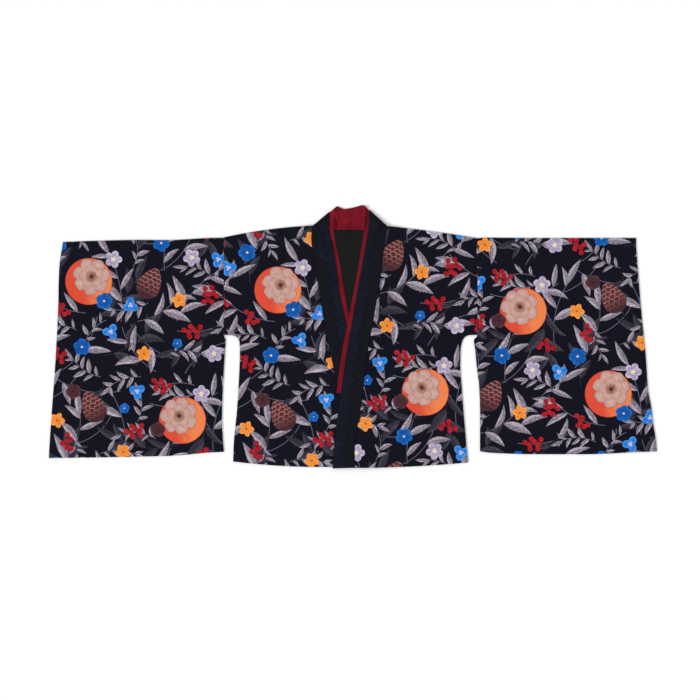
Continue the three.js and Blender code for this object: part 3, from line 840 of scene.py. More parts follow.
@dataclass(frozen=True)
class Strip:
    """A strip that runs from the right hem up round the neck and down to the left hem.

    Its outer face looks up on the two front runs, turns over at the neck's sides and looks down
    behind the neck. Its section is a closed, flat loop with rounded long edges.

    Attributes:
        turn_radius, band_turn_radius: On which its middle and the neckband's turn over.
        draw_back: How far its free edge stands back by height, on the right and on the left.
        seam_inset: How far its seam edge is drawn in from the neckband's.
        peek: How far its free edge shows past the neckband's.
        below_band: How far it lies below the neckband on the runs.
        back_bottom: Height of its underside behind the neck.
        end_y: Where it ends on the two runs.
        crown: How far the middle of its outer face stands out.
        row_step: Longest step between its edges' rows.
        turn_middle: Height of the line that its turns go round.
    """

    wall: float
    turn_radius: float
    draw_back: tuple[Table, Table] = (STRAIGHT, STRAIGHT)
    seam_inset: float = 0
    peek: float = 0
    below_band: float = 0
    back_bottom: float = 0
    end_y: float = -400
    crown: float = 0.5
    creases: tuple[Crease, ...] = ()
    row_step: float = 2.5
    turn_middle: float = 2.65
    band_turn_radius: float = 2.05
    turn_rows: int = 15
    face_points: int = 25

    def run(self, run: Run, bottom: Table, draw_back: Table) -> Array:
        """Rows of a front run: edges, middle height, angle of its outer face and way out.

        The seam edge is drawn in and the free edge carried out along each row's line.
        """
        rows = run.rows(self.row_step)
        rows = rows[rows[:, 1] >= self.end_y]
        seam, free = rows[:, :2], rows[:, 2:]
        unit = (free - seam) / np.linalg.norm(free - seam, axis=1, keepdims=True)
        past = self.peek - draw_back.read(rows[:, 3])[:, None]
        edges = np.hstack([seam + unit * self.seam_inset, free + unit * past])
        middle = bottom.read(rows[:, 1]) - self.below_band + self.wall / 2
        return columns(*edges.T, middle, 0.0, 0.0, 0.0)

    def turn(self, turn: Turn, start: float, end: float, draw_back: Table) -> Array:
        """Rows of a turn: the middle goes round a half circle as its face's angle does."""
        long = math.dist(turn.seam, turn.free)
        reached = 1 - float(draw_back.read(turn.free[1])) / long
        end_of = [mix(turn.seam[i], turn.free[i], reached) for i in (0, 1)]
        angle = np.linspace(start, end, self.turn_rows)
        out = np.sin(angle) * self.turn_radius - self.band_turn_radius - BAND_WALL / 2
        seam = [turn.seam[i] + turn.out[i] * out for i in (0, 1)]
        free = [end_of[i] + turn.out[i] * out for i in (0, 1)]
        middle = self.turn_middle + self.turn_radius * np.cos(angle)
        return columns(*seam, *free, middle, angle, *turn.out)

    def rows(self) -> Array:
        """All rows in order from the right hem to the left one, spaced evenly between the given ones."""
        back = BACK_RUN.rows(self.row_step)
        middle = np.full(len(back), self.back_bottom + self.wall / 2)
        behind = columns(*back.T, middle, math.pi, 0.0, 0.0)
        right, left = self.draw_back
        up = self.run(RIGHT_RUN, RIGHT_BAND_BOTTOM, right), self.turn(RIGHT_TURN, 0, math.pi, right)
        down = self.turn(LEFT_TURN, math.pi, 0, left), self.run(LEFT_RUN, LEFT_BAND_BOTTOM, left)
        keys = np.vstack([*up, behind, *down])
        steps = np.diff(keys[:, :5], axis=0)
        far = np.concatenate([[0], np.cumsum(np.linalg.norm(steps, axis=1) + 1e-6)])
        place = steps_between(far, 2 * self.row_step)
        rows = columns(*(np.interp(place, far, keys[:, i]) for i in range(keys.shape[1])))
        near = np.searchsorted(far, place).clip(0, len(far) - 1)
        rows[:, 6:] = np.where(np.abs(np.sin(rows[:, 5:6])) > 1e-6, keys[near, 6:], 0)
        return rows

    def section(self) -> tuple[Array, Array, Array]:
        """The loop: shares from seam to free edge, way past the edge, and side of the wall."""
        face = np.linspace(0, 1, self.face_points)
        edge_out, edge_side = np.array(EDGE_OUT[1:-1]), np.array((0.7, 0, -0.7))
        ones = np.ones_like(edge_out)
        share = np.concatenate([face, ones, face[::-1], 0 * ones])
        past = np.concatenate([0 * face, edge_out, 0 * face, -edge_out])
        side = np.concatenate([face * 0 + 1, edge_side, face * 0 - 1, -edge_side])
        return share, past, side

    def points(self) -> Array:
        """The strip's skin, with both ends drawn together.

        A point lies on its row's line from seam to free edge, off it by half the wall along the
        row's outward direction, plus the crown sin(pi * share) on the outer face.
        """
        rows = self.rows()
        rows = np.vstack([rows[:1], rows, rows[-1:]])
        share, past, side = self.section()
        side = np.where(np.isin(np.arange(len(rows)), (0, len(rows) - 1))[:, None], 0, side)
        seam, free = rows[:, None, 0:2], rows[:, None, 2:4]
        line = free - seam
        long = np.linalg.norm(line, axis=-1, keepdims=True)
        along = share[None, :, None] * (long - 2 * EDGE_RADIUS) + EDGE_RADIUS + past[None, :, None]
        plan = seam + line / long * along
        angle = rows[:, 5:6]
        bulge = self.crown * np.sin(math.pi * share) * np.maximum(np.cos(angle), 0)
        reach = side * self.wall / 2 + np.where(side > 0.99, bulge, 0)
        plan = plan + (np.sin(angle) * reach)[..., None] * rows[:, None, 6:8]
        z = rows[:, 4:5] + np.cos(angle) * reach
        upper = np.where(np.cos(angle) * side > 0.9, 1, 0)
        x, y = plan[..., 0], plan[..., 1]
        z = z + upper * sum((c.lift(x, y) for c in self.creases), np.zeros_like(z))
        return np.concatenate([plan, z[..., None]], axis=-1)


NECKBAND = Strip(
    wall=BAND_WALL,
    turn_radius=2.05,
    draw_back=(
        Table((310, 301, 268, 236, 202, 157, 103, 27, -31), (5, 5, -0.3, -2.3, -3.1, -3, -2.5, -1.5, 0)),
        Table((310, 307, 275, 250, 226, 199, 157, 112), (22, 22, 5, 0, -3.7, -2.6, -1.4, 0)),
    ),
    creases=(
        Crease(-70, 205, 100, 120, 22, 1.0, 3),
        Crease(-62, 60, 78, 150, 18, 0.7, 2),
        Crease(50, 180, 80, 130, 20, 0.9, -3),
        Crease(18, 20, 76, 150, 20, 0.6, 2),
        Crease(-14, -230, 86, 130, 16, 0.6, 2),
    ),
)
INNER_BAND = Strip(
    wall=TRIM_WALL,
    turn_radius=0.65,
    seam_inset=6,
    peek=10.8,
    below_band=TRIM_WALL + SEAM_GAP,
    back_bottom=BAND_WALL + SEAM_GAP,
    end_y=-132,
    crown=0.3,
    creases=(
        Crease(-46, 263, 95, 44, 14, 7.2, 1, -0.5),
        Crease(-45, 296, 100, 30, 12, 5.0, 0, -0.4),
        Crease(-48.5, 235, 97, 26, 9, 3.4, 0, -0.3),
        Crease(-33, 280, 104, 66, 12, 3.4, 2, 0.3),
        Crease(24.3, 277, 85, 92, 12, 7.6, -2, -0.5),
        Crease(-10, 280, 86, 56, 30, 1.8, 3),
        Crease(-21, 272, 91, 70, 5, -0.8, 0),
        Crease(-6, 251, 0, 96, 18, 3.0, 0),
        Crease(-4, 258.5, 0, 90, 5, -0.9, 0),
    ),
)


# ---- lace


@dataclass(frozen=True)
class Lace:
    """A lace trim on the neckband: along the seam and round the turned corner.

    Its outer edge is straight and its inner edge scalloped, each with a corded rim.

    Attributes:
        seam_inset: How far its straight edge lies in from the neckband's seam edge.
        width: Its width between scallops.
        depth, pitch: How far a scallop reaches past that width, and its length.
        corner_inset: Its inset at the turned corner.
        corner_width: What is left of its reach there, as a share.
        corner_climb: Heights from the turn's seam end over which it narrows.
        corner_shares: How far round the corner it goes, as shares of the turn's line.
        tuck: How far its edges reach below the net's underside.
        cord: Radius of the cord along its rims.
        loop_in: How far inside the scalloped rim a second, lower cord runs.
        loop_share, bar_share: Height of that cord and of the cross bars, as shares of the rim's.
        bars: Cross bars to a scallop.
    """

    side: Side
    seam_inset: float = 1
    width: float = 18
    depth: float = 12
    pitch: float = 25.4
    corner_inset: float = 2
    corner_width: float = 0.26
    corner_climb: Pair = (-10, 8)
    corner_shares: tuple[float, ...] = (0.3, 0.6)
    thickness: float = 0.55
    tuck: float = 0.2
    cord: float = 0.9
    loop_in: float = 5.2
    loop_share: float = 0.6
    bar_share: float = 0.28
    bars: int = 3
    row_step: float = 1.2
    across_points: int = 19

    def path(self) -> tuple[Array, Array]:
        """Points along the seam edge and the corner, with distances along them."""
        is_left = self.side is Side.LEFT
        run, turn = (LEFT_RUN, LEFT_TURN) if is_left else (RIGHT_RUN, RIGHT_TURN)
        seam = np.column_stack([run.seam_x, run.seam_y])
        seam = seam[::-1] if is_left else seam
        start, end = np.array(turn.seam), np.array(turn.free)
        corner = [mix(start, end, share) for share in (0, *self.corner_shares)]
        keys = np.vstack([seam, *corner])
        far = np.concatenate([[0], np.cumsum(np.linalg.norm(np.diff(keys, axis=0), axis=1))])
        scallops = round(far[-1] / self.pitch)
        along = np.linspace(0, far[-1], scallops * round(self.pitch / self.row_step) + 1)
        line = columns(*(Table(tuple(far), tuple(keys[:, i])).read(along) for i in (0, 1)))
        return line, along * scallops / far[-1]

    def points(self) -> tuple[Array, Array]:
        """The lace's upper skin and, for its net, millimetres along, across and in from the rim.

        Across a row, a share runs from the straight edge to the scalloped one, whose reach is the
        width plus depth * |sin| over each scallop. Rims stand up as rounds and the net's bars as
        the square of a cosine.
        """
        line, scallop = self.path()
        turn = LEFT_TURN if self.side is Side.LEFT else RIGHT_TURN
        tangent = np.gradient(line, axis=0)
        tangent = tangent / np.linalg.norm(tangent, axis=1, keepdims=True)
        inward = 1 if self.side is Side.LEFT else -1
        normal = inward * np.column_stack([tangent[:, 1], -tangent[:, 0]])
        corner = smooth_step(*self.corner_climb, line[:, 1] - turn.seam[1])
        inset = mix(self.seam_inset, self.corner_inset, corner)[:, None]
        reach = self.width + self.depth * np.abs(np.sin(math.pi * scallop))
        reach = reach * mix(1, self.corner_width, corner)
        across = np.linspace(0, 1, self.across_points)
        into = inset + reach[:, None] * across
        plan = line[:, None] + normal[:, None] * into[..., None]
        bottoms = LEFT_BAND_BOTTOM if self.side is Side.LEFT else RIGHT_BAND_BOTTOM
        lift = bottoms.read(plan[..., 1]) + BAND_WALL + SEAM_GAP + self.thickness
        from_rim = reach[:, None] * (1 - across)
        rims = np.maximum(self.rim(from_rim - self.cord), self.rim(into - inset - self.cord))
        loop = self.loop_share * self.rim(from_rim - self.loop_in)
        bar = self.bar_share * np.cos(math.tau * self.bars * scallop[:, None]).clip(0) ** 2
        z = lift + self.cord * np.maximum(np.maximum(rims, loop), bar)
        net = columns(scallop[:, None] * self.pitch, into - inset, from_rim)
        return np.concatenate([plan, z[..., None]], axis=-1), net

    def rim(self, off: Array) -> Array:
        """Round section of a cord: the square root of 1 - (off / radius)^2."""
        return np.sqrt(np.maximum(1 - (off / self.cord) ** 2, 0))

    def skin(self) -> tuple[Array, Array]:
        """The lace with its rim carried down and a little under it."""
        upper, net = self.points()
        edged = np.concatenate([upper[:, :1], upper, upper[:, -1:]], axis=1)
        edged[:, (0, -1), 2] -= self.thickness + self.tuck
        ended = np.concatenate([edged[:1], edged, edged[-1:]], axis=0)
        ended[(0, -1), :, 2] -= self.thickness
        net = np.pad(net, ((1, 1), (1, 1), (0, 0)), mode="edge")
        return ended, net


# ---- the print's motifs

# The inside distance that stands for no motif near.
FAR_OUTSIDE = -60.0
# The turn in radians from one seed of a sunflower to the next.
GOLDEN_ANGLE = 2.39996


def wrapped(off: Array, repeat: float) -> Array:
    """A difference of places brought within half a repeat of zero."""
    return (off + repeat / 2) % repeat - repeat / 2


@dataclass(frozen=True)
class Motif:
    """A motif of the print, placed by its foot if it grows and else by its middle."""

    x: float
    y: float


@dataclass(frozen=True)
class Leaf(Motif):
    """A lance-shaped leaf.

    Attributes:
        heading: Way its tip points, in degrees from +X.
        bow: How far its midrib bends off the straight line, as a share of its length.
        hook: How far its tip curls to one side, as a share of its length.
    """

    heading: float
    length: float
    width: float
    bow: float
    hook: float

    @property
    def reach(self) -> float:
        """How far from its foot it can cover."""
        return self.length * 1.06 + 6

    def blade(self) -> tuple[Array, Array]:
        """Three places along it, from under its widest part to its tip."""
        turn, along = math.radians(self.heading), self.length * np.array((0.35, 0.65, 0.95))
        return self.x + along * math.cos(turn), self.y + along * math.sin(turn)

    def measure(self, dx: Array, dy: Array) -> Array:
        """Millimetres inside its outline, along from its foot and across from its midrib.

        Half its width is sin(pi a^0.78)^1.08 of the widest, with a the share of its length, so it
        is widest near its foot and drawn out to its tip; the midrib is a parabola plus a cube.

        Args:
            dx, dy: Places from its foot.

        Returns:
            Inside distance, along and across, as columns.
        """
        along, left = turned(dx, dy, self.heading)
        share = np.clip(along / self.length, 0, 1)
        midrib = self.length * (self.bow * 4 * share * (1 - share) + self.hook * share**3)
        across = left - midrib
        half = self.width / 2 * np.sin(math.pi * share**0.78).clip(0) ** 1.08
        beyond = np.maximum(-along, along - self.length)
        inside = np.where(beyond > 0, -beyond - np.abs(across), half - np.abs(across))
        return columns(inside, along, across)


@dataclass(frozen=True)
class Spray(Motif):
    """A curved stem with leaves along both sides and one at its tip.

    Attributes:
        heading, turn: Degrees from +X at its foot, and how many it turns over its length.
        leaves: How many stand along it.
        spread: Degrees between a leaf and the stem.
    """

    heading: float
    length: float
    turn: float
    leaves: int
    leaf_length: float
    leaf_width: float
    spread: float = 50

    def on_stem(self, share: Array | float) -> tuple[Array, Array, Array]:
        """Points of the stem's arc and its headings in radians at shares of its length."""
        start, turn = math.radians(self.heading), math.radians(self.turn)
        radius = self.length / turn
        now = start + turn * np.asarray(share, float)
        x = self.x + radius * (np.sin(now) - math.sin(start))
        y = self.y - radius * (np.cos(now) - math.cos(start))
        return x, y, now

    def all_leaves(self) -> list[Leaf]:
        """Its leaves, longer in the middle, on alternate sides, uneven in length and spread."""
        chance = np.random.default_rng(round(self.x * 7 + self.y * 13))
        grown = []
        for number in range(self.leaves):
            share = (number + 0.7) / self.leaves
            x, y, now = self.on_stem(share)
            side = 1 if number % 2 else -1
            size = (0.8 + 0.3 * math.sin(math.pi * share)) * chance.uniform(0.82, 1.14)
            heading = math.degrees(float(now)) + side * self.spread * chance.uniform(0.72, 1.25)
            bow, hook = -side * chance.uniform(-0.03, 0.13), side * chance.uniform(-0.04, 0.12)
            width = self.leaf_width * size * chance.uniform(0.76, 1.16)
            long = self.leaf_length * size
            grown.append(Leaf(float(x), float(y), heading, long, width, bow, hook))
        x, y, now = self.on_stem(1.0)
        tip, width = math.degrees(float(now)), 0.9 * self.leaf_width
        grown.append(Leaf(float(x), float(y), tip, self.leaf_length, width, 0.06, 0.05))
        return grown

    def from_stem(self, dx: Array, dy: Array) -> Array:
        """Signed distance from the arc's circle at places from its foot, far out past its ends."""
        start, turn = math.radians(self.heading), math.radians(self.turn)
        radius = self.length / turn
        cx, cy = dx + radius * math.sin(start), dy - radius * math.cos(start)
        off = np.hypot(cx, cy) - abs(radius)
        angle = np.arctan2(cx, -cy) if radius > 0 else np.arctan2(-cx, cy)
        share = wrapped(angle - start, math.tau) / turn
        return np.where((share > -0.01) & (share < 1.05), off, -FAR_OUTSIDE)


class BloomKind(Enum):
    """The blossoms, by their number in the print."""

    BLUE = 0
    SKY = 1
    ORANGE = 2
    LAVENDER = 3
    PLUM = 4


@dataclass(frozen=True)
class BloomShape:
    """How one kind of blossom is drawn.

    Attributes:
        reach: From its middle to a petal's tip.
        petal: Half length and half width of a petal.
        point: Exponent of a petal's outline: 2 is round, lower is pointed.
        core, star: Radius of its eye, and how far the eye draws in between the petals.
    """

    petals: int
    reach: float
    petal: Pair
    point: float
    core: float
    star: float = 0


BLOOM_SHAPES = {
    BloomKind.BLUE: BloomShape(5, 20, (10.2, 9.6), 2.2, 2.7),
    BloomKind.SKY: BloomShape(3, 19.5, (10, 9.2), 1.8, 7, 0.7),
    BloomKind.ORANGE: BloomShape(5, 18.5, (10.4, 7.4), 1.5, 2.4),
    BloomKind.LAVENDER: BloomShape(5, 20.5, (11, 8.4), 2.5, 8, 0.72),
    BloomKind.PLUM: BloomShape(5, 18, (10, 10), 2.4, 3),
}


@dataclass(frozen=True)
class Bloom(Motif):
    """A blossom of one kind, turned by some degrees and scaled."""

    kind: BloomKind
    turned: float
    scale: float = 1

    @property
    def reach(self) -> float:
        """How far from its middle it can cover."""
        return BLOOM_SHAPES[self.kind].reach * self.scale + 4

    def measure(self, dx: Array, dy: Array) -> Array:
        """Measures of the blossom at places from its middle.

        Each petal is a rounded lens; the outline is the nearest one's inside distance, and the
        crease is how much further inside it a place is than inside the next petal.

        Args:
            dx, dy: Places from its middle.

        Returns:
            Inside distance, crease, radius, kind, side of the petal from -1 to 1, and distance
            inside the eye, as columns.
        """
        shape = BLOOM_SHAPES[self.kind]
        dx, dy = dx / self.scale, dy / self.scale
        radius, angle = np.hypot(dx, dy), np.arctan2(dy, dx) - math.radians(self.turned)
        half_long, half_wide = shape.petal
        axes = np.arange(shape.petals) * math.tau / shape.petals
        off = wrapped(angle[..., None] - axes, math.tau)
        along = radius[..., None] * np.cos(off) - (shape.reach - half_long)
        across = radius[..., None] * np.sin(off)
        lens = (np.abs(along) / half_long) ** shape.point + (np.abs(across) / half_wide) ** 2
        inside = half_wide * (1 - lens ** (1 / shape.point))
        order = np.sort(inside, axis=-1)
        side = np.abs(off).min(axis=-1) * shape.petals / math.pi
        signed = np.take_along_axis(off, np.abs(off).argmin(axis=-1)[..., None], -1)[..., 0]
        core = shape.core * (1 - shape.star * side) - radius
        nearest = np.maximum(order[..., -1], core * 0.9)
        signed_side = np.sign(signed) * side
        parts = (nearest * self.scale, order[..., -1] - order[..., -2], radius)
        return columns(*parts, float(self.kind.value), signed_side, core)


@dataclass(frozen=True)
class Berries(Motif):
    """A cluster of round berries.

    Attributes:
        count, size: Number of berries and their radius.
        heading: Way the cluster is drawn out, in degrees.
        spacing: A berry stands this far from the middle times the root of its number.
        drawn_out: How much longer and narrower the cluster is than a round one.
    """

    count: int
    heading: float
    size: float = 6.5
    spacing: float = 6.5
    drawn_out: Pair = (1.35, 0.95)

    @property
    def reach(self) -> float:
        """How far from its middle it can cover."""
        return 9.2 * math.sqrt(self.count) * 1.5 + self.size

    def measure(self, dx: Array, dy: Array) -> Array:
        """Inside distance of the nearest berry and the place from its middle.

        The berries stand close on a sunflower spiral, a golden angle from each to the next,
        drawn out along the cluster's heading.
        """
        number = np.arange(self.count) + 0.3
        radius, angle = self.spacing * np.sqrt(number), GOLDEN_ANGLE * number
        long = self.drawn_out[0] * radius * np.cos(angle)
        wide = self.drawn_out[1] * radius * np.sin(angle)
        x, y = turned(long, wide, -self.heading)
        off_x, off_y = dx[..., None] - x, dy[..., None] - y
        inside = self.size - np.hypot(off_x, off_y)
        nearest = inside.argmax(axis=-1)[..., None]
        parts = (np.take_along_axis(part, nearest, -1)[..., 0] for part in (inside, off_x, off_y))
        return columns(*parts)


@dataclass(frozen=True)
class Ring:
    """A ring of petals: their number, middles' radius and half length and width."""

    petals: int
    middle: float
    half_long: float
    half_wide: float


PEONY_RINGS = (Ring(4, 6, 8, 7), Ring(5, 16, 14, 13), Ring(7, 29, 15, 15.5))


@dataclass(frozen=True)
class Roundel(Motif):
    """A round sun with an open peony over it, off its middle.

    Attributes:
        turned: Way from the sun's middle to the peony's, in degrees.
        sun: Radius of the sun.
        peony_off: From the sun's middle to the peony's.
        round: Exponent of a petal's outline: 2 is an oval, higher is squarer.
    """

    turned: float
    sun: float = 55
    peony_off: float = 13
    reach: float = 66
    round: float = 2.4

    def measure(self, dx: Array, dy: Array) -> Array:
        """Measures of the roundel at places from the sun's middle.

        A petal is an oval round its ring's middle radius, ruffled by two cosines of the angle,
        and inner rings lie over outer ones.

        Returns:
            Inside distance of the whole, inside distance of the petal that shows, radius from
            the peony's middle, inside distance of the peony, and the place from the sun's middle.
        """
        way = math.radians(self.turned)
        px, py = dx - self.peony_off * math.cos(way), dy - self.peony_off * math.sin(way)
        radius, angle = np.hypot(px, py), np.arctan2(py, px) - way
        shown = np.full_like(radius, -1.0)
        peony = np.full_like(radius, FAR_OUTSIDE)
        for number, ring in reversed(list(enumerate(PEONY_RINGS))):
            step = math.tau / ring.petals
            off = wrapped(angle + 0.5 * step * (number % 2), step)
            ruffle = 1 + 0.07 * np.cos(5 * angle + number) + 0.05 * np.cos(13 * angle)
            along = (radius * np.cos(off) - ring.middle) / (ring.half_long * ruffle)
            across = radius * np.sin(off) / ring.half_wide
            oval = np.abs(along) ** self.round + np.abs(across) ** self.round
            inside = ring.half_wide * (1 - oval ** (1 / self.round))
            shown = np.where(inside > 0, inside, shown)
            peony = np.maximum(peony, inside)
        peony = np.maximum(peony, PEONY_RINGS[-1].middle - 2 - radius)
        whole = np.maximum(peony, self.sun - np.hypot(dx, dy))
        return columns(whole, shown, radius, peony, dx, dy)


@dataclass(frozen=True)
class SeedHead(Motif):
    """An oval seed head with rows of overlapping scales.

    Attributes:
        heading: Way its top points, in degrees.
        half_long, half_wide: Half its length, and half its width before it tapers.
        row, scale_width: From one row of scales to the next, and from scale to scale in it.
        scale_radius: Radius of a scale.
    """

    heading: float
    half_long: float = 38
    half_wide: float = 28
    row: float = 9.5
    scale_width: float = 13.5
    scale_radius: float = 8.6

    @property
    def reach(self) -> float:
        """How far from its middle it can cover."""
        return self.half_long + 4

    def measure(self, dx: Array, dy: Array) -> Array:
        """Inside distance of the oval, inside distance of a scale, and share up the seed head.

        Scales stand in rows, each row half a scale over from the last; a scale is a round whose
        lower part the next row covers. They crowd towards the sides as on a round body.
        """
        up, across = turned(dx, dy, self.heading)
        taper = 1 - 0.3 * (up / self.half_long + 0.2)
        oval = np.sqrt((up / self.half_long) ** 2 + (across / (self.half_wide * taper)) ** 2)
        bulge = across / np.sqrt(np.maximum(1.25 - oval**2, 0.2))
        best = np.full_like(up, -9.0)
        lowest = np.floor(up / self.row)
        for below in (0, 1):
            number = lowest - below
            shift = (number % 2) * self.scale_width / 2
            side = wrapped(bulge - shift, self.scale_width)
            inside = self.scale_radius - np.hypot(side, (up - number * self.row) * 0.9)
            best = np.where(inside > 0, inside, best) if below else inside
        return columns((1 - oval) * self.half_wide, best, up / self.half_long)


@dataclass(frozen=True)
class RepeatPrint:
    """The print's repeat, from its lowest layer to its highest but for the stems.

    Attributes:
        width, height: Size of the repeat.
        light_sprays, dark_sprays: Small ones first, so that they keep their leaves.
        leaf_gap: Least distance between two leaves, as a share of both their widths.
    """

    width: float
    height: float
    light_sprays: tuple[Spray, ...]
    dark_sprays: tuple[Spray, ...]
    blooms: tuple[Bloom, ...]
    berries: tuple[Berries, ...]
    roundels: tuple[Roundel, ...]
    seed_heads: tuple[SeedHead, ...]
    leaf_gap: float = 0.4

    def between(self, dx: Array, dy: Array) -> tuple[Array, Array]:
        """Differences of places, to the nearest copy of the repeat."""
        return wrapped(dx, self.width), wrapped(dy, self.height)

    def grown(self, sprays: Iterable[Spray]) -> list[Leaf]:
        """Leaves of the sprays, but for those that would lie over a leaf grown before."""
        kept: list[Leaf] = []
        for leaf in (leaf for spray in sprays for leaf in spray.all_leaves()):
            x, y = leaf.blade()
            free = True
            for other in kept:
                other_x, other_y = other.blade()
                apart = np.hypot(*self.between(x[:, None] - other_x, y[:, None] - other_y)).min()
                free = free and apart > self.leaf_gap * (leaf.width + other.width)
            if free:
                kept.append(leaf)
        return kept

    def layer(self, motifs: Iterable[Motif], x: Array, y: Array, parts: int = 3) -> Array:
        """Measures of the motif that a place lies furthest inside.

        Args:
            motifs: Motifs of one kind, each with a reach and a measure.
            x, y: Places on the cloth.
            parts: Number of measures the motifs give.

        Returns:
            The measures, with the first far below zero where no motif is near.
        """
        best = np.zeros((len(x), parts))
        best[:, 0] = FAR_OUTSIDE
        for motif in motifs:
            dx, dy = self.between(x - motif.x, y - motif.y)
            near = np.flatnonzero((np.abs(dx) < motif.reach) & (np.abs(dy) < motif.reach))
            measures = motif.measure(dx[near], dy[near])
            further = measures[:, 0] > best[near, 0]
            best[near[further]] = measures[further]
        return best

    def stems(self, x: Array, y: Array) -> Array:
        """Signed distance from the nearest stem, its size, and 1 on a light spray or 0 on a dark one.

        A light stem has to be nearer than a dark one by some millimetres, so the two don't mix.
        """
        best = columns(np.full_like(x, -FAR_OUTSIDE), -FAR_OUTSIDE, 0.0)
        for tone, sprays in ((0.0, self.dark_sprays), (1.0, self.light_sprays)):
            for spray in sprays:
                off = spray.from_stem(*self.between(x - spray.x, y - spray.y))
                nearer = np.abs(off) < best[:, 1] - 2 * tone
                best[nearer] = columns(off, np.abs(off), tone)[nearer]
        return best

    def attributes(self, skin: Array, offset: Pair) -> dict[str, Array]:
        """Every layer's measures at a piece's points, under the names the printed cloth reads.

        Args:
            skin: Grid of the piece's points.
            offset: What is added to a place on the table to give the place in the print.
        """
        x, y = skin[..., 0].ravel() + offset[0], skin[..., 1].ravel() + offset[1]
        light, dark = self.grown(self.light_sprays), self.grown(self.dark_sprays)
        blooms = self.layer(self.blooms, x, y, 6)
        roundels = self.layer(self.roundels, x, y, 6)
        return {
            "light_leaf": self.layer(light, x, y),
            "dark_leaf": self.layer(dark, x, y),
            "stem": self.stems(x, y),
            "bloom": blooms[:, :3],
            "bloom_kind": blooms[:, 3:],
            "berry": self.layer(self.berries, x, y),
            "roundel": roundels[:, :3],
            "roundel_place": roundels[:, 3:],
            "seed_head": self.layer(self.seed_heads, x, y),
        }


def sprays(*rows: tuple[float, ...]) -> tuple[Spray, ...]:
    """Sprays from rows of foot x and y, heading, length, turn, leaves, leaf length, width, spread."""
    return tuple(Spray(*row) for row in rows)


PRINT = RepeatPrint(
    width=420,
    height=520,
    light_sprays=sprays(
        (232, 46, 214, 84, -46, 8, 32, 9),
        (398, 92, 128, 90, 50, 8, 34, 9),
        (120, 212, 24, 84, -52, 8, 32, 9),
        (250, 246, 150, 84, 46, 8, 32, 9),
        (346, 352, 200, 86, -50, 8, 34, 9),
        (60, 262, 262, 76, 40, 7, 30, 8),
        (214, 392, 176, 80, 44, 8, 32, 9),
        (64, 502, 152, 84, 50, 8, 32, 9),
        (276, 446, 24, 84, -50, 8, 33, 9),
        (196, 130, 60, 70, 50, 7, 30, 9),
        (340, 372, 160, 86, 50, 8, 33, 9),
        (120, 392, 170, 80, -46, 8, 32, 9),
        (206, 286, 60, 70, 50, 7, 30, 9),
        (84, 474, 70, 70, -46, 7, 30, 9),
        (168, 2, 84, 165, 32, 6, 68, 17),
        (300, 4, 72, 165, -46, 6, 66, 16),
        (270, 122, 96, 150, -40, 6, 64, 16, 48),
        (14, 158, 44, 160, 48, 6, 68, 17, 52),
        (176, 200, 82, 160, 38, 6, 66, 17),
        (388, 196, 102, 165, -44, 6, 68, 17),
        (236, 330, -18, 160, 52, 6, 66, 16, 48),
        (84, 22, 176, 150, -46, 6, 64, 16),
        (16, 388, -34, 150, 44, 6, 66, 17, 48),
        (196, 190, -16, 120, 50, 4, 60, 15),
        (206, 2, 10, 120, 44, 5, 66, 17, 48),
        (262, 122, 26, 104, 44, 4, 60, 16, 48),
        (66, 236, 16, 116, 52, 4, 66, 17, 48),
        (412, 232, 146, 104, -50, 4, 62, 17, 48),
        (392, 330, 14, 116, 42, 5, 66, 17, 48),
        (30, 408, 34, 150, 44, 6, 66, 17),
        (190, 516, -62, 130, 46, 5, 64, 17),
        (250, 404, 150, 130, -44, 5, 64, 16),
        (300, 500, -10, 130, 44, 5, 66, 17),
        (318, 400, 62, 120, -48, 5, 64, 16),
    ),
    dark_sprays=sprays(
        (100, 10, 20, 140, 42, 5, 64, 19, 40),
        (300, 232, 198, 140, -48, 5, 64, 18, 40),
        (376, 318, 246, 130, 44, 5, 62, 19, 40),
        (130, 380, 250, 130, 50, 5, 62, 18, 40),
        (28, 110, 100, 120, -40, 4, 62, 18, 40),
        (130, 442, 10, 120, 40, 4, 60, 18, 40),
        (392, 512, 232, 110, -40, 4, 60, 18, 40),
    ),
    blooms=(
        Bloom(254, 268, BloomKind.PLUM, 10),
        Bloom(56, 358, BloomKind.PLUM, 44),
        Bloom(172, 216, BloomKind.ORANGE, 50),
        Bloom(304, 52, BloomKind.ORANGE, 30),
        Bloom(18, 290, BloomKind.ORANGE, 66),
        Bloom(128, 50, BloomKind.BLUE, 8),
        Bloom(20, 184, BloomKind.BLUE, 40, 1.05),
        Bloom(262, 186, BloomKind.BLUE, 62),
        Bloom(176, 318, BloomKind.BLUE, 12, 0.62),
        Bloom(190, 40, BloomKind.SKY, 90),
        Bloom(206, 358, BloomKind.SKY, 35),
        Bloom(396, 148, BloomKind.SKY, 12),
        Bloom(356, 352, BloomKind.LAVENDER, 15),
        Bloom(334, 152, BloomKind.LAVENDER, 48),
        Bloom(150, 148, BloomKind.LAVENDER, 70),
        Bloom(76, 462, BloomKind.BLUE, 20),
        Bloom(300, 470, BloomKind.BLUE, 50, 0.62),
        Bloom(222, 446, BloomKind.ORANGE, 15),
        Bloom(144, 498, BloomKind.SKY, 60),
        Bloom(386, 446, BloomKind.LAVENDER, 30),
    ),
    berries=(
        Berries(376, 62, 9, 70),
        Berries(200, 266, 8, 30),
        Berries(364, 210, 6, -24),
        Berries(42, 236, 6, 84),
        Berries(262, 372, 8, -8),
        Berries(30, 28, 6, 120),
        Berries(336, 500, 8, 20),
        Berries(20, 446, 7, 140),
    ),
    roundels=(Roundel(92, 96, 60), Roundel(312, 290, 128)),
    seed_heads=(SeedHead(236, 92, 64), SeedHead(102, 322, 118)),
)


# ---- finishes

# A motif's edge softens over this much of its inside distance.
PRINT_EDGE = (-0.3, 0.3)
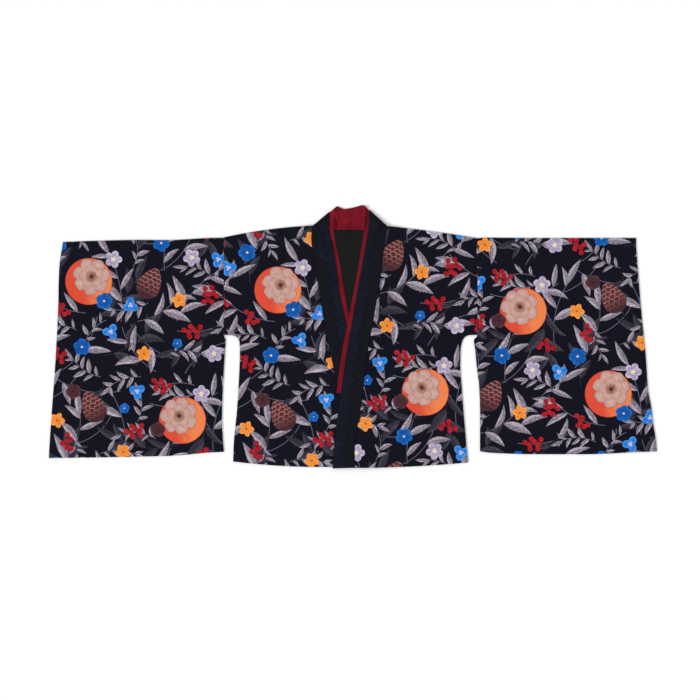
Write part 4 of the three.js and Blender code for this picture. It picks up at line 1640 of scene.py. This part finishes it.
# Blender's wave texture turns by this many radians over a length of 1 at a scale of 1.
WAVE_RADIANS = 20


@dataclass(frozen=True)
class BloomColours:
    """A blossom's colours: petal, its lighter wash, its veins and its eye."""

    petal: str
    wash: str
    vein: str
    eye: str


@dataclass(frozen=True)
class PrintedCrepe:
    """Printed cotton crepe: a matte woven cloth with a crisp all-over print.

    Its fine pebbled weave takes the gloss off the dark ground and leaves only a faint sheen.

    Attributes:
        light_leaf: Shade, blade and light of the light leaves.
        dark_leaf: The same of the dark leaves.
        stems: Stems of the dark and of the light sprays.
        sun: A roundel's coral, its glow and its outline.
        peony: Its blush, a paler blush, its brown and its dark middle.
        seed_head: Gaps between the scales, the scales and their rims.
        berry: Red, bright red, and the spots and rims.
        weave: Millimetres to a radian of the drawn weave. Real threads cross 0.4 mm apart, too
            fine to show; drawn like this their crests stand 6.9 mm apart.
    """

    ground: str = "#0d0e1b"
    light_leaf: tuple[str, str, str] = ("#665e6c", "#b4a7b6", "#d2c8d0")
    dark_leaf: tuple[str, str, str] = ("#262430", "#423e4a", "#524d5a")
    stems: tuple[str, str] = ("#302e3b", "#6b677b")
    sun: tuple[str, str, str] = ("#d64b35", "#e87f4c", "#b9422d")
    peony: tuple[str, str, str, str] = ("#b88d85", "#cda69c", "#8a5344", "#46302c")
    seed_head: tuple[str, str, str] = ("#120b0f", "#4a2a2e", "#bd766f")
    berry: tuple[str, str, str] = ("#8c1620", "#bd2530", "#520c12")
    blooms: tuple[BloomColours, ...] = (
        BloomColours("#0f4f9e", "#1f74cf", "#08305f", "#d9c9bd"),
        BloomColours("#2374d0", "#4a9fec", "#14509e", "#c4b6d6"),
        BloomColours("#e6862f", "#f8aa58", "#bb571c", "#a84a18"),
        BloomColours("#9c8db0", "#d3c7d6", "#75668f", "#dfd5b2"),
        BloomColours("#45292f", "#60393f", "#2a171b", "#341d22"),
    )
    weave: float = 1.1
    weave_strength: float = 0.12
    roughness: float = 0.82
    specular: float = 0.08

    def material(self) -> Material:
        """The printed cloth, read from the cloth's own print attributes."""
        material, tree, shader = new_cloth("printed_cotton_crepe", self.roughness, self.specular)
        place = add_node(tree, "TexCoord").outputs["Object"]
        tree.links.new(self.drawn(tree, place), shader.inputs["Base Color"])
        weave_bump(tree, shader, place, self.weave, self.weave_strength)
        return material

    def drawn(self, tree: Tree, place: Socket) -> Socket:
        """The print from the ground up: stems, leaves, roundels, seed heads, berries, blossoms."""
        inputs = {"Vector": place, "Scale": 120.0, "Detail": 3.0, "Roughness": 0.65}
        wash = within(tree, result(tree, "TexNoise", inputs), 0.36, 0.66)
        colour = self.stem_lines(tree, linear(self.ground))
        colour = self.leaves(tree, colour, "dark_leaf", self.dark_leaf, place)
        colour = self.leaves(tree, colour, "light_leaf", self.light_leaf, place)
        colour = self.roundels(tree, colour, wash)
        colour = self.seed_heads(tree, colour)
        colour = self.berries(tree, colour, wash)
        return self.blossoms(tree, colour, wash)

    def stem_lines(self, tree: Tree, under: Paint) -> Socket:
        """Stems 1.3 mm wide to the middle of their soft edges.

        The distance turns its sign at a stem, but half way to the next one too, so a line shows
        only where the distance's size is small as well.
        """
        off, size, tone = measures(tree, "stem")
        thin = result(tree, "Math", {0: off}, operation="ABSOLUTE")
        inputs = {0: within(tree, thin, 0.9, 0.4), 1: within(tree, size, 4.5, 3.5)}
        mask = result(tree, "Math", inputs, operation="MULTIPLY")
        dark, light = map(linear, self.stems)
        return blend_colour(tree, under, blend_colour(tree, dark, light, tone), mask)

    def leaves(
        self, tree: Tree, under: Paint, name: str, colours: tuple[str, str, str], place: Socket
    ) -> Socket:
        """Leaves in slanting brush strokes, with a dark midrib and one half lighter.

        Args:
            tree: The material's node tree.
            under: What they are laid over.
            name: Their attribute.
            colours: Shade, blade and light.
            place: Object coordinates, which make each leaf's strokes its own.

        Returns:
            The colour with the leaves on it.
        """
        inside, along, across = measures(tree, name)
        shade, blade, light = map(linear, colours)
        away = result(tree, "Math", {0: across}, operation="ABSOLUTE")
        inputs = {0: away, 1: -1.3, 2: along}
        slant = result(tree, "Math", inputs, operation="MULTIPLY_ADD")
        long = result(tree, "Math", {0: slant, 1: 0.16}, operation="MULTIPLY")
        short = result(tree, "Math", {0: across, 1: 0.3}, operation="MULTIPLY")
        strokes = result(tree, "CombineXYZ", {0: long, 1: short})
        apart = result(tree, "VectorMath", {0: place, "Scale": 30.0}, operation="SCALE")
        strokes = result(tree, "VectorMath", {0: strokes, 1: apart}, operation="ADD")
        inputs = {"Vector": strokes, "Scale": 1.15, "Detail": 4.0, "Roughness": 0.72}
        brushed = result(tree, "TexNoise", inputs)
        inputs = {0: brushed, 1: 7.0, 2: within(tree, across, -3.0, 3.0)}
        tone = result(tree, "Math", inputs, operation="MULTIPLY_ADD")
        body = painted(
            tree, shade, (blade, tone, 3.1, 4.9), (light, tone, 4.6, 5.8), (shade, away, 0.9, 0.3)
        )
        return painted(tree, under, (body, inside, *PRINT_EDGE))

    def roundels(self, tree: Tree, under: Paint, wash: Socket) -> Socket:
        """Roundels: a brushed coral sun, and over it a blush peony with brown-edged petals."""
        inside, petal, radius = measures(tree, "roundel")
        peony, right, up = measures(tree, "roundel_place")
        coral, glow, line = map(linear, self.sun)
        blush, pale, brown, dark = map(linear, self.peony)
        flat = result(tree, "CombineXYZ", {0: right, 1: up})
        inputs = {"Vector": flat, "Scale": 0.09, "Detail": 4.0, "Roughness": 0.62}
        brushed = result(tree, "TexNoise", inputs)
        inputs = {0: brushed, 1: 60.0, 2: right}
        lit = result(tree, "Math", inputs, operation="MULTIPLY_ADD")
        sun = painted(tree, coral, (glow, lit, 18.0, 56.0), (line, inside, 1.6, 0.4))
        inputs = {0: petal, 1: 0.09, 2: wash}
        soft = result(tree, "Math", inputs, operation="MULTIPLY_ADD")
        inputs = {0: brushed, 1: 22.0, 2: radius}
        tone = result(tree, "Math", inputs, operation="MULTIPLY_ADD")
        flower = painted(tree, blush, (pale, soft, 0.3, 1.9), (brown, tone, 27.0, 15.0))
        flower = painted(tree, flower, (brown, petal, 1.9, -0.2), (dark, radius, 6.5, 3.0))
        both = painted(tree, sun, (flower, peony, *PRINT_EDGE))
        return painted(tree, under, (both, inside, *PRINT_EDGE))

    def seed_heads(self, tree: Tree, under: Paint) -> Socket:
        """Seed heads: dark gaps, brown scales with pink rims, plainer towards the foot."""
        inside, scale, up = measures(tree, "seed_head")
        gap, brown, pink = map(linear, self.seed_head)
        body = painted(tree, gap, (brown, scale, 0.1, 0.9))
        inputs = {0: within(tree, scale, 0.3, 0.9), 1: within(tree, scale, 2.5, 1.4)}
        rims = result(tree, "Math", inputs, operation="MULTIPLY")
        inputs = {0: rims, 1: within(tree, up, -0.75, 0.1)}
        shine = result(tree, "Math", inputs, operation="MULTIPLY")
        body = blend_colour(tree, body, pink, shine)
        return painted(tree, under, (body, inside, *PRINT_EDGE))

    def berries(self, tree: Tree, under: Paint, wash: Socket) -> Socket:
        """Berries: two washed reds, a dark spot in the middle and a dark rim."""
        inside, right, up = measures(tree, "berry")
        red, bright, spot = map(linear, self.berry)
        flat = result(tree, "CombineXYZ", {0: right, 1: up})
        radius = add_node(tree, "VectorMath", {0: flat}, operation="LENGTH").outputs["Value"]
        body = blend_colour(tree, red, bright, wash)
        body = painted(tree, body, (spot, radius, 1.6, 0.8), (spot, inside, 1.0, 0.2))
        return painted(tree, under, (body, inside, *PRINT_EDGE))

    def of_kind(self, tree: Tree, kind: Socket, part: str) -> Socket:
        """One of a blossom's colours by its kind, on a ramp with a flat step for each kind."""
        ramp = add_node(tree, "ValToRGB", {"Fac": kind})
        ramp.color_ramp.interpolation = "CONSTANT"
        steps = ramp.color_ramp.elements
        while len(steps) < len(self.blooms):
            steps.new(0.5)
        for number, (step, colours) in enumerate(zip(steps, self.blooms)):
            step.position = max(0.0, (number - 0.5) / len(self.blooms))
            step.color = linear(getattr(colours, part))
        return ramp.outputs["Color"]

    def blossoms(self, tree: Tree, under: Paint, wash: Socket) -> Socket:
        """Blossoms: washed, veined petals with dark creases between them, and an eye.

        Veins are the crests of a cosine over the share of a petal's half width.
        """
        inside, crease, radius = measures(tree, "bloom")
        kind, side, core = measures(tree, "bloom_kind")
        inputs = {0: kind, 1: 1 / len(self.blooms)}
        kind = result(tree, "Math", inputs, operation="MULTIPLY")
        names = ("petal", "wash", "vein", "eye")
        petal, lighter, vein, eye = (self.of_kind(tree, kind, name) for name in names)
        inputs = {0: wash, 1: within(tree, inside, 9.0, 1.0)}
        rim = result(tree, "Math", inputs, operation="MULTIPLY")
        body = blend_colour(tree, petal, lighter, rim)
        phase = result(tree, "Math", {0: side, 1: 8.0}, operation="MULTIPLY")
        lines = result(tree, "Math", {0: phase}, operation="COSINE")
        inputs = {0: within(tree, lines, 0.55, 1.0), 1: within(tree, inside, 1.5, 4.0)}
        veins = result(tree, "Math", inputs, operation="MULTIPLY")
        faint = result(tree, "Math", {0: veins, 1: 0.55}, operation="MULTIPLY")
        body = blend_colour(tree, body, vein, faint)
        body = painted(tree, body, (vein, crease, 1.5, 0.4), (eye, core, -0.4, 0.4))
        return painted(tree, under, (body, inside, *PRINT_EDGE))


def weave_bump(
    tree: Tree, shader: bpy.types.Node, place: Socket, radian: float, strength: float
) -> None:
    """Raise a plain weave: the product of a sine wave of warp and one of weft.

    Args:
        tree: The material's node tree.
        shader: The shader whose normal it turns.
        place: Object coordinates, in metres.
        radian: Millimetres over which a wave turns by a radian.
        strength: How far the bump tells.
    """
    scale = 1 / (radian * MM) / WAVE_RADIANS
    inputs = {"Vector": place, "Scale": scale, "Distortion": 0.4, "Detail": 1.0}
    warp, weft = (
        add_node(tree, "TexWave", inputs, bands_direction=axis).outputs["Fac"] for axis in ("X", "Y")
    )
    height = result(tree, "Math", {0: warp, 1: weft}, operation="MULTIPLY")
    bump = add_node(tree, "Bump", {"Height": height, "Strength": strength, "Distance": 0.2 * MM})
    tree.links.new(bump.outputs["Normal"], shader.inputs["Normal"])


@dataclass(frozen=True)
class PlainCloth:
    """A dyed woven cloth of one colour, lighter and darker by a little over its surface, the lighter
    parts a painted sheen.

    Attributes:
        painted_sheen: A painted sheen, the colour where it catches more light, laid on soft random
            clouds.
        sheen: The soft glow of its nap at a low angle.
        weave: Millimetres to a radian of the drawn weave.
    """

    name: str
    colour: str
    painted_sheen: str
    roughness: float
    sheen: float
    weave: float
    weave_strength: float = 0.15
    specular: float = 0.1

    def material(self) -> Material:
        """The cloth: its colour and a painted sheen on soft clouds, and its weave."""
        material, tree, shader = new_cloth(self.name, self.roughness, self.specular)
        place = add_node(tree, "TexCoord").outputs["Object"]
        inputs = {"Vector": place, "Scale": 34.0, "Detail": 4.0}
        clouds = result(tree, "TexNoise", inputs)
        inputs = {"Vector": place, "Scale": 620.0, "Detail": 2.0}
        slub = result(tree, "TexNoise", inputs)
        inputs = {0: slub, 1: 0.5, 2: clouds}
        both = result(tree, "Math", inputs, operation="MULTIPLY_ADD")
        # Painted sheen: the lighter colour is laid where the clouds and slubs rise, standing for where
        # the cloth catches light.
        mixed = painted(tree, linear(self.colour), (linear(self.painted_sheen), both, 0.55, 0.95))
        tree.links.new(mixed, shader.inputs["Base Color"])
        shader.inputs["Sheen Weight"].default_value = self.sheen
        weave_bump(tree, shader, place, self.weave, self.weave_strength)
        return material


@dataclass(frozen=True)
class NetLace:
    """Machine-made cotton lace: a close black net with small holes, through which the navy shows.

    Its thread is matte and finely ridged, so the lace is the blackest thing on the coat.

    Attributes:
        thread: Its thread.
        shine: Thread that catches the light.
        hole: The navy seen through a hole.
        mesh: Millimetres from hole to hole.
    """

    thread: str = "#060607"
    shine: str = "#121214"
    hole: str = "#0e1322"
    mesh: float = 2.4
    roughness: float = 0.9
    specular: float = 0.15

    def material(self) -> Material:
        """The lace, from millimetres along, across and in from its scalloped rim.

        Holes are the cells of a nearly even net, away from its bars and from the rim.
        """
        material, tree, shader = new_cloth("cotton_net_lace", self.roughness, self.specular)
        along, across, from_rim = measures(tree, "net")
        flat = result(tree, "CombineXYZ", {0: along, 1: across})
        inputs = {"Vector": flat, "Scale": 1 / self.mesh, "Randomness": 0.15}
        net = add_node(tree, "TexVoronoi", inputs, feature="DISTANCE_TO_EDGE")
        from_bar = net.outputs["Distance"]
        inputs = {0: within(tree, from_bar, 0.16, 0.26), 1: within(tree, from_rim, 2.4, 3.2)}
        holes = result(tree, "Math", inputs, operation="MULTIPLY")
        place = add_node(tree, "TexCoord").outputs["Object"]
        fuzz = result(tree, "TexNoise", {"Vector": place, "Scale": 900.0})
        body = painted(tree, linear(self.thread), (linear(self.shine), fuzz, 0.4, 0.7))
        body = blend_colour(tree, body, linear(self.hole), holes)
        tree.links.new(body, shader.inputs["Base Color"])
        raised = result(tree, "Math", {0: 1.0, 1: holes}, operation="SUBTRACT")
        bump = add_node(tree, "Bump", {"Height": raised, "Strength": 0.5, "Distance": 0.3 * MM})
        tree.links.new(bump.outputs["Normal"], shader.inputs["Normal"])
        return material


# Each plain cloth's second colour is its painted sheen.
# Polyester satin lining, charcoal, smoother than the rest, so it takes a faint even shine.
LINING_SATIN = PlainCloth("polyester_satin_lining", "#0f0f0e", "#141413", 0.6, 0.0, 0.9)
# Cotton sateen of the neckband, navy and matte.
NAVY_SATEEN = PlainCloth("navy_cotton_sateen", "#0b0f1b", "#111626", 0.8, 0.0, 1.1)
# Dyed cotton of the inner band, dark red, with a soft nap.
RED_COTTON = PlainCloth("dark_red_cotton", "#610917", "#7c1222", 0.85, 0.03, 1.2)


def finishes() -> dict[Slot, Material]:
    """The material of each of the coat's slots."""
    return {
        Slot.PRINTED_CLOTH: PrintedCrepe().material(),
        Slot.LINING: LINING_SATIN.material(),
        Slot.NECKBAND_CLOTH: NAVY_SATEEN.material(),
        Slot.INNER_BAND_CLOTH: RED_COTTON.material(),
        Slot.LACE: NetLace().material(),
    }


# ---- the coat


@dataclass(frozen=True)
class Cut:
    """The cloth that a piece was cut from, for what of it shows.

    Attributes:
        flat, area: Width and length in metres, and flat area in square metres.
        rests_on: Names of the pieces that it lies on.
    """

    flat: Pair
    area: float
    rests_on: tuple[str, ...] = ()
    held: str = "laid"


LEFT_FRONT = Front(
    side=Side.LEFT,
    rest=Rest(
        creases=(
            Crease(-250, 120, 80, 190, 46, 1.4, -5),
            Crease(-190, -40, 96, 240, 60, 1.1, 6),
            Crease(-140, -190, 84, 190, 50, 1.2, -4),
            Crease(-232, -180, 98, 170, 40, 1.0, 4),
        ),
        wave_height=0.9,
        wave_length=140,
        seed=5,
    ),
)
RIGHT_FRONT = Front(
    side=Side.RIGHT,
    rise=1.6,
    drop=3,
    width=270,
    rest=Rest(
        creases=(
            Crease(240, 110, 98, 200, 46, 1.4, 5),
            Crease(160, -20, 86, 250, 60, 1.1, -6),
            Crease(110, -190, 98, 180, 46, 1.2, 4),
            Crease(215, -190, 84, 160, 40, 1.0, -4),
        ),
        wave_height=0.9,
        wave_length=150,
        seed=6,
    ),
)
BACK = Back(grid_step=3, width=570)
LINING = Lining(grid_step=3, width=150, rest=Rest(wave_height=0.3, wave_length=90, seed=9))


@dataclass(frozen=True)
class Coat:
    """The whole coat: its printed panels and sleeves, its lining, neckband and lace."""

    finishes: dict[Slot, Material]

    def add(
        self,
        name: str,
        slot: Slot,
        skin: Array,
        cut: Cut,
        attributes: dict[str, Array] | None = None,
        loops: tuple[bool, bool] = (False, False),
        facing: float = 1,
    ) -> None:
        """Make a piece and put it in its node's place.

        Args:
            name: The piece's name: its CAD node's, an underscore and a last word.
            slot: The finish that it takes.
            skin: Grid of its points, rows x columns x 3.
            cut: Its cloth; not used.
            attributes: Three values a point under each attribute's name.
            loops: Whether its rows and whether its columns join end to end.
            facing: 1 where the grid's outward side is the skin's, -1 where it is the other.
        """
        quads = grid_quads(*skin.shape[:2], *loops)[:, :: int(facing)]
        piece = make_piece(name, skin.reshape(-1, 3), quads, self.finishes[slot], attributes or {})
        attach(piece, "root")
        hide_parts(name.rpartition("_")[0])
        triangles = sum(len(polygon.vertices) - 2 for polygon in piece.data.polygons)
        log.info("%s: %d triangles", piece.name, triangles)

    def add_body(self) -> None:
        """The two fronts, sewn to the neckband along their inner edges, the back and its lining."""
        cut = Cut((0.305, 0.57), 0.128, ("back", "back_lining"))
        skin = bordered(LEFT_FRONT.points(), PANEL_WALL, sewn=1)
        self.add("front_left_cloth", Slot.PRINTED_CLOTH, skin, cut, PRINT.attributes(skin, (268, -14)))
        cut = Cut((0.29, 0.57), 0.129, ("back",))
        skin = bordered(RIGHT_FRONT.points(), PANEL_WALL, sewn=-1)
        self.add("front_right_cloth", Slot.PRINTED_CLOTH, skin, cut, PRINT.attributes(skin, (142, 420)))
        cut = Cut((0.6, 0.57), 0.308)
        skin = bordered(BACK.points(), PANEL_WALL, facing=-1)
        drawn = PRINT.attributes(skin, (150, 20))
        self.add("back_cloth", Slot.PRINTED_CLOTH, skin, cut, drawn, facing=-1)
        cut = Cut((0.17, 0.556), 0.052, ("back",))
        skin = bordered(LINING.points(), TRIM_WALL)
        self.add("back_lining_cloth", Slot.LINING, skin, cut)

    def add_sleeves(self) -> None:
        """The two sleeves, whose cut counts their front and their back."""
        for name, sleeve, area, offset in (
            ("sleeve_left_cloth", LEFT_SLEEVE, 0.4, (292, -34)),
            ("sleeve_right_cloth", RIGHT_SLEEVE, 0.397, (332, 230)),
        ):
            cut, skin = Cut((0.41, 1.02), area), sleeve.skin()
            drawn = PRINT.attributes(skin, offset)
            self.add(name, Slot.PRINTED_CLOTH, skin, cut, drawn, loops=(True, False))

    def add_bands(self) -> None:
        """The neckband, and the inner band inside it."""
        neckband_cut = Cut((0.055, 1.3), 0.0635, ("front_left", "front_right"))
        inner_cut = Cut((0.056, 1.0), 0.05, ("back_lining",))
        for name, slot, strip, cut in (
            ("neckband_cloth", Slot.NECKBAND_CLOTH, NECKBAND, neckband_cut),
            ("inner_band_cloth", Slot.INNER_BAND_CLOTH, INNER_BAND, inner_cut),
        ):
            self.add(name, slot, strip.points(), cut, loops=(False, True))

    def add_laces(self) -> None:
        """The lace on each run of the neckband."""
        cut = Cut((0.03, 0.62), 0.0155, ("neckband",))
        for name, side in (("lace_left_trim", Side.LEFT), ("lace_right_trim", Side.RIGHT)):
            skin, net = Lace(side).skin()
            self.add(name, Slot.LACE, skin, cut, {"net": net.reshape(-1, 3)})

    def build(self) -> None:
        """Build every piece."""
        self.add_body()
        self.add_sleeves()
        self.add_bands()
        self.add_laces()


# ---- the studio


@dataclass(frozen=True)
class Lamp:
    """A far lamp: its name, the way to it, its strength and its spread in degrees."""

    name: str
    toward: tuple[float, float, float]
    strength: float
    spread: float

    def build(self, scene: bpy.types.Scene) -> None:
        """Put up the lamp."""
        lamp = bpy.data.lights.new(self.name, "SUN")
        lamp.energy, lamp.angle = self.strength, math.radians(self.spread)
        holder = bpy.data.objects.new(self.name, lamp)
        holder.rotation_euler = Vector(self.toward).to_track_quat("Z", "Y").to_euler()
        scene.collection.objects.link(holder)


@dataclass(frozen=True)
class Studio:
    """A white table under wide soft lamps, seen from straight above, in metres.

    Attributes:
        view_width, centre: Width of the table that the camera takes in, and where it looks.
        lens, sensor: Its focal length and its sensor's width in millimetres.
        table_half: Half a side of the table.
        table_drop: How far the table lies below the coat, so that they never flicker.
        sky: Strength of the even light from all round.
    """

    view_width: float = 1.645
    centre: Pair = (-0.0066, -0.031)
    lens: float = 85
    sensor: float = 36
    table_half: float = 6
    table_drop: float = 0.0004
    table_colour: str = "#fbfbfb"
    table_roughness: float = 0.9
    sky: float = 0.62
    lamps: tuple[Lamp, ...] = (
        Lamp("lamp_left", (-0.8, -0.42, 0.62), 1.9, 24),
        Lamp("lamp_neck", (0.35, 0.8, 0.75), 0.5, 60),
    )

    def build(self) -> None:
        """Put up the camera, the table, the even light and the lamps."""
        scene = bpy.context.scene
        scene.view_settings.view_transform = "Standard"
        self.put_camera(scene)
        self.lay_table(scene)
        world = bpy.data.worlds.new("studio")
        scene.world = world
        world.use_nodes = True
        sky = world.node_tree.nodes["Background"]
        sky.inputs["Color"].default_value = (1, 1, 1, 1)
        sky.inputs["Strength"].default_value = self.sky
        for lamp in self.lamps:
            lamp.build(scene)

    def put_camera(self, scene: bpy.types.Scene) -> None:
        """Put up the camera, as high as its lens needs for the width of its view."""
        camera = bpy.data.cameras.new("camera")
        camera.lens, camera.sensor_width = self.lens, self.sensor
        seat = bpy.data.objects.new("camera", camera)
        seat.location = (*self.centre, self.view_width * self.lens / self.sensor)
        scene.collection.objects.link(seat)
        scene.camera = seat

    def lay_table(self, scene: bpy.types.Scene) -> None:
        """Lay the white table."""
        half, height = self.table_half, -self.table_drop
        corners = [(x * half, y * half, height) for x, y in ((-1, -1), (1, -1), (1, 1), (-1, 1))]
        mesh = bpy.data.meshes.new("table")
        mesh.from_pydata(corners, [], [(0, 1, 2, 3)])
        material, _, shader = new_cloth("white_table", self.table_roughness)
        shader.inputs["Base Color"].default_value = linear(self.table_colour)
        mesh.materials.append(material)
        table = bpy.data.objects.new("table", mesh)
        scene.collection.objects.link(table)


def main() -> None:
    """Build the studio and the coat."""
    logging.basicConfig(level=logging.INFO, format="%(name)s %(message)s")
    Studio().build()
    Coat(finishes()).build()


if __name__ == "__main__":
    main()
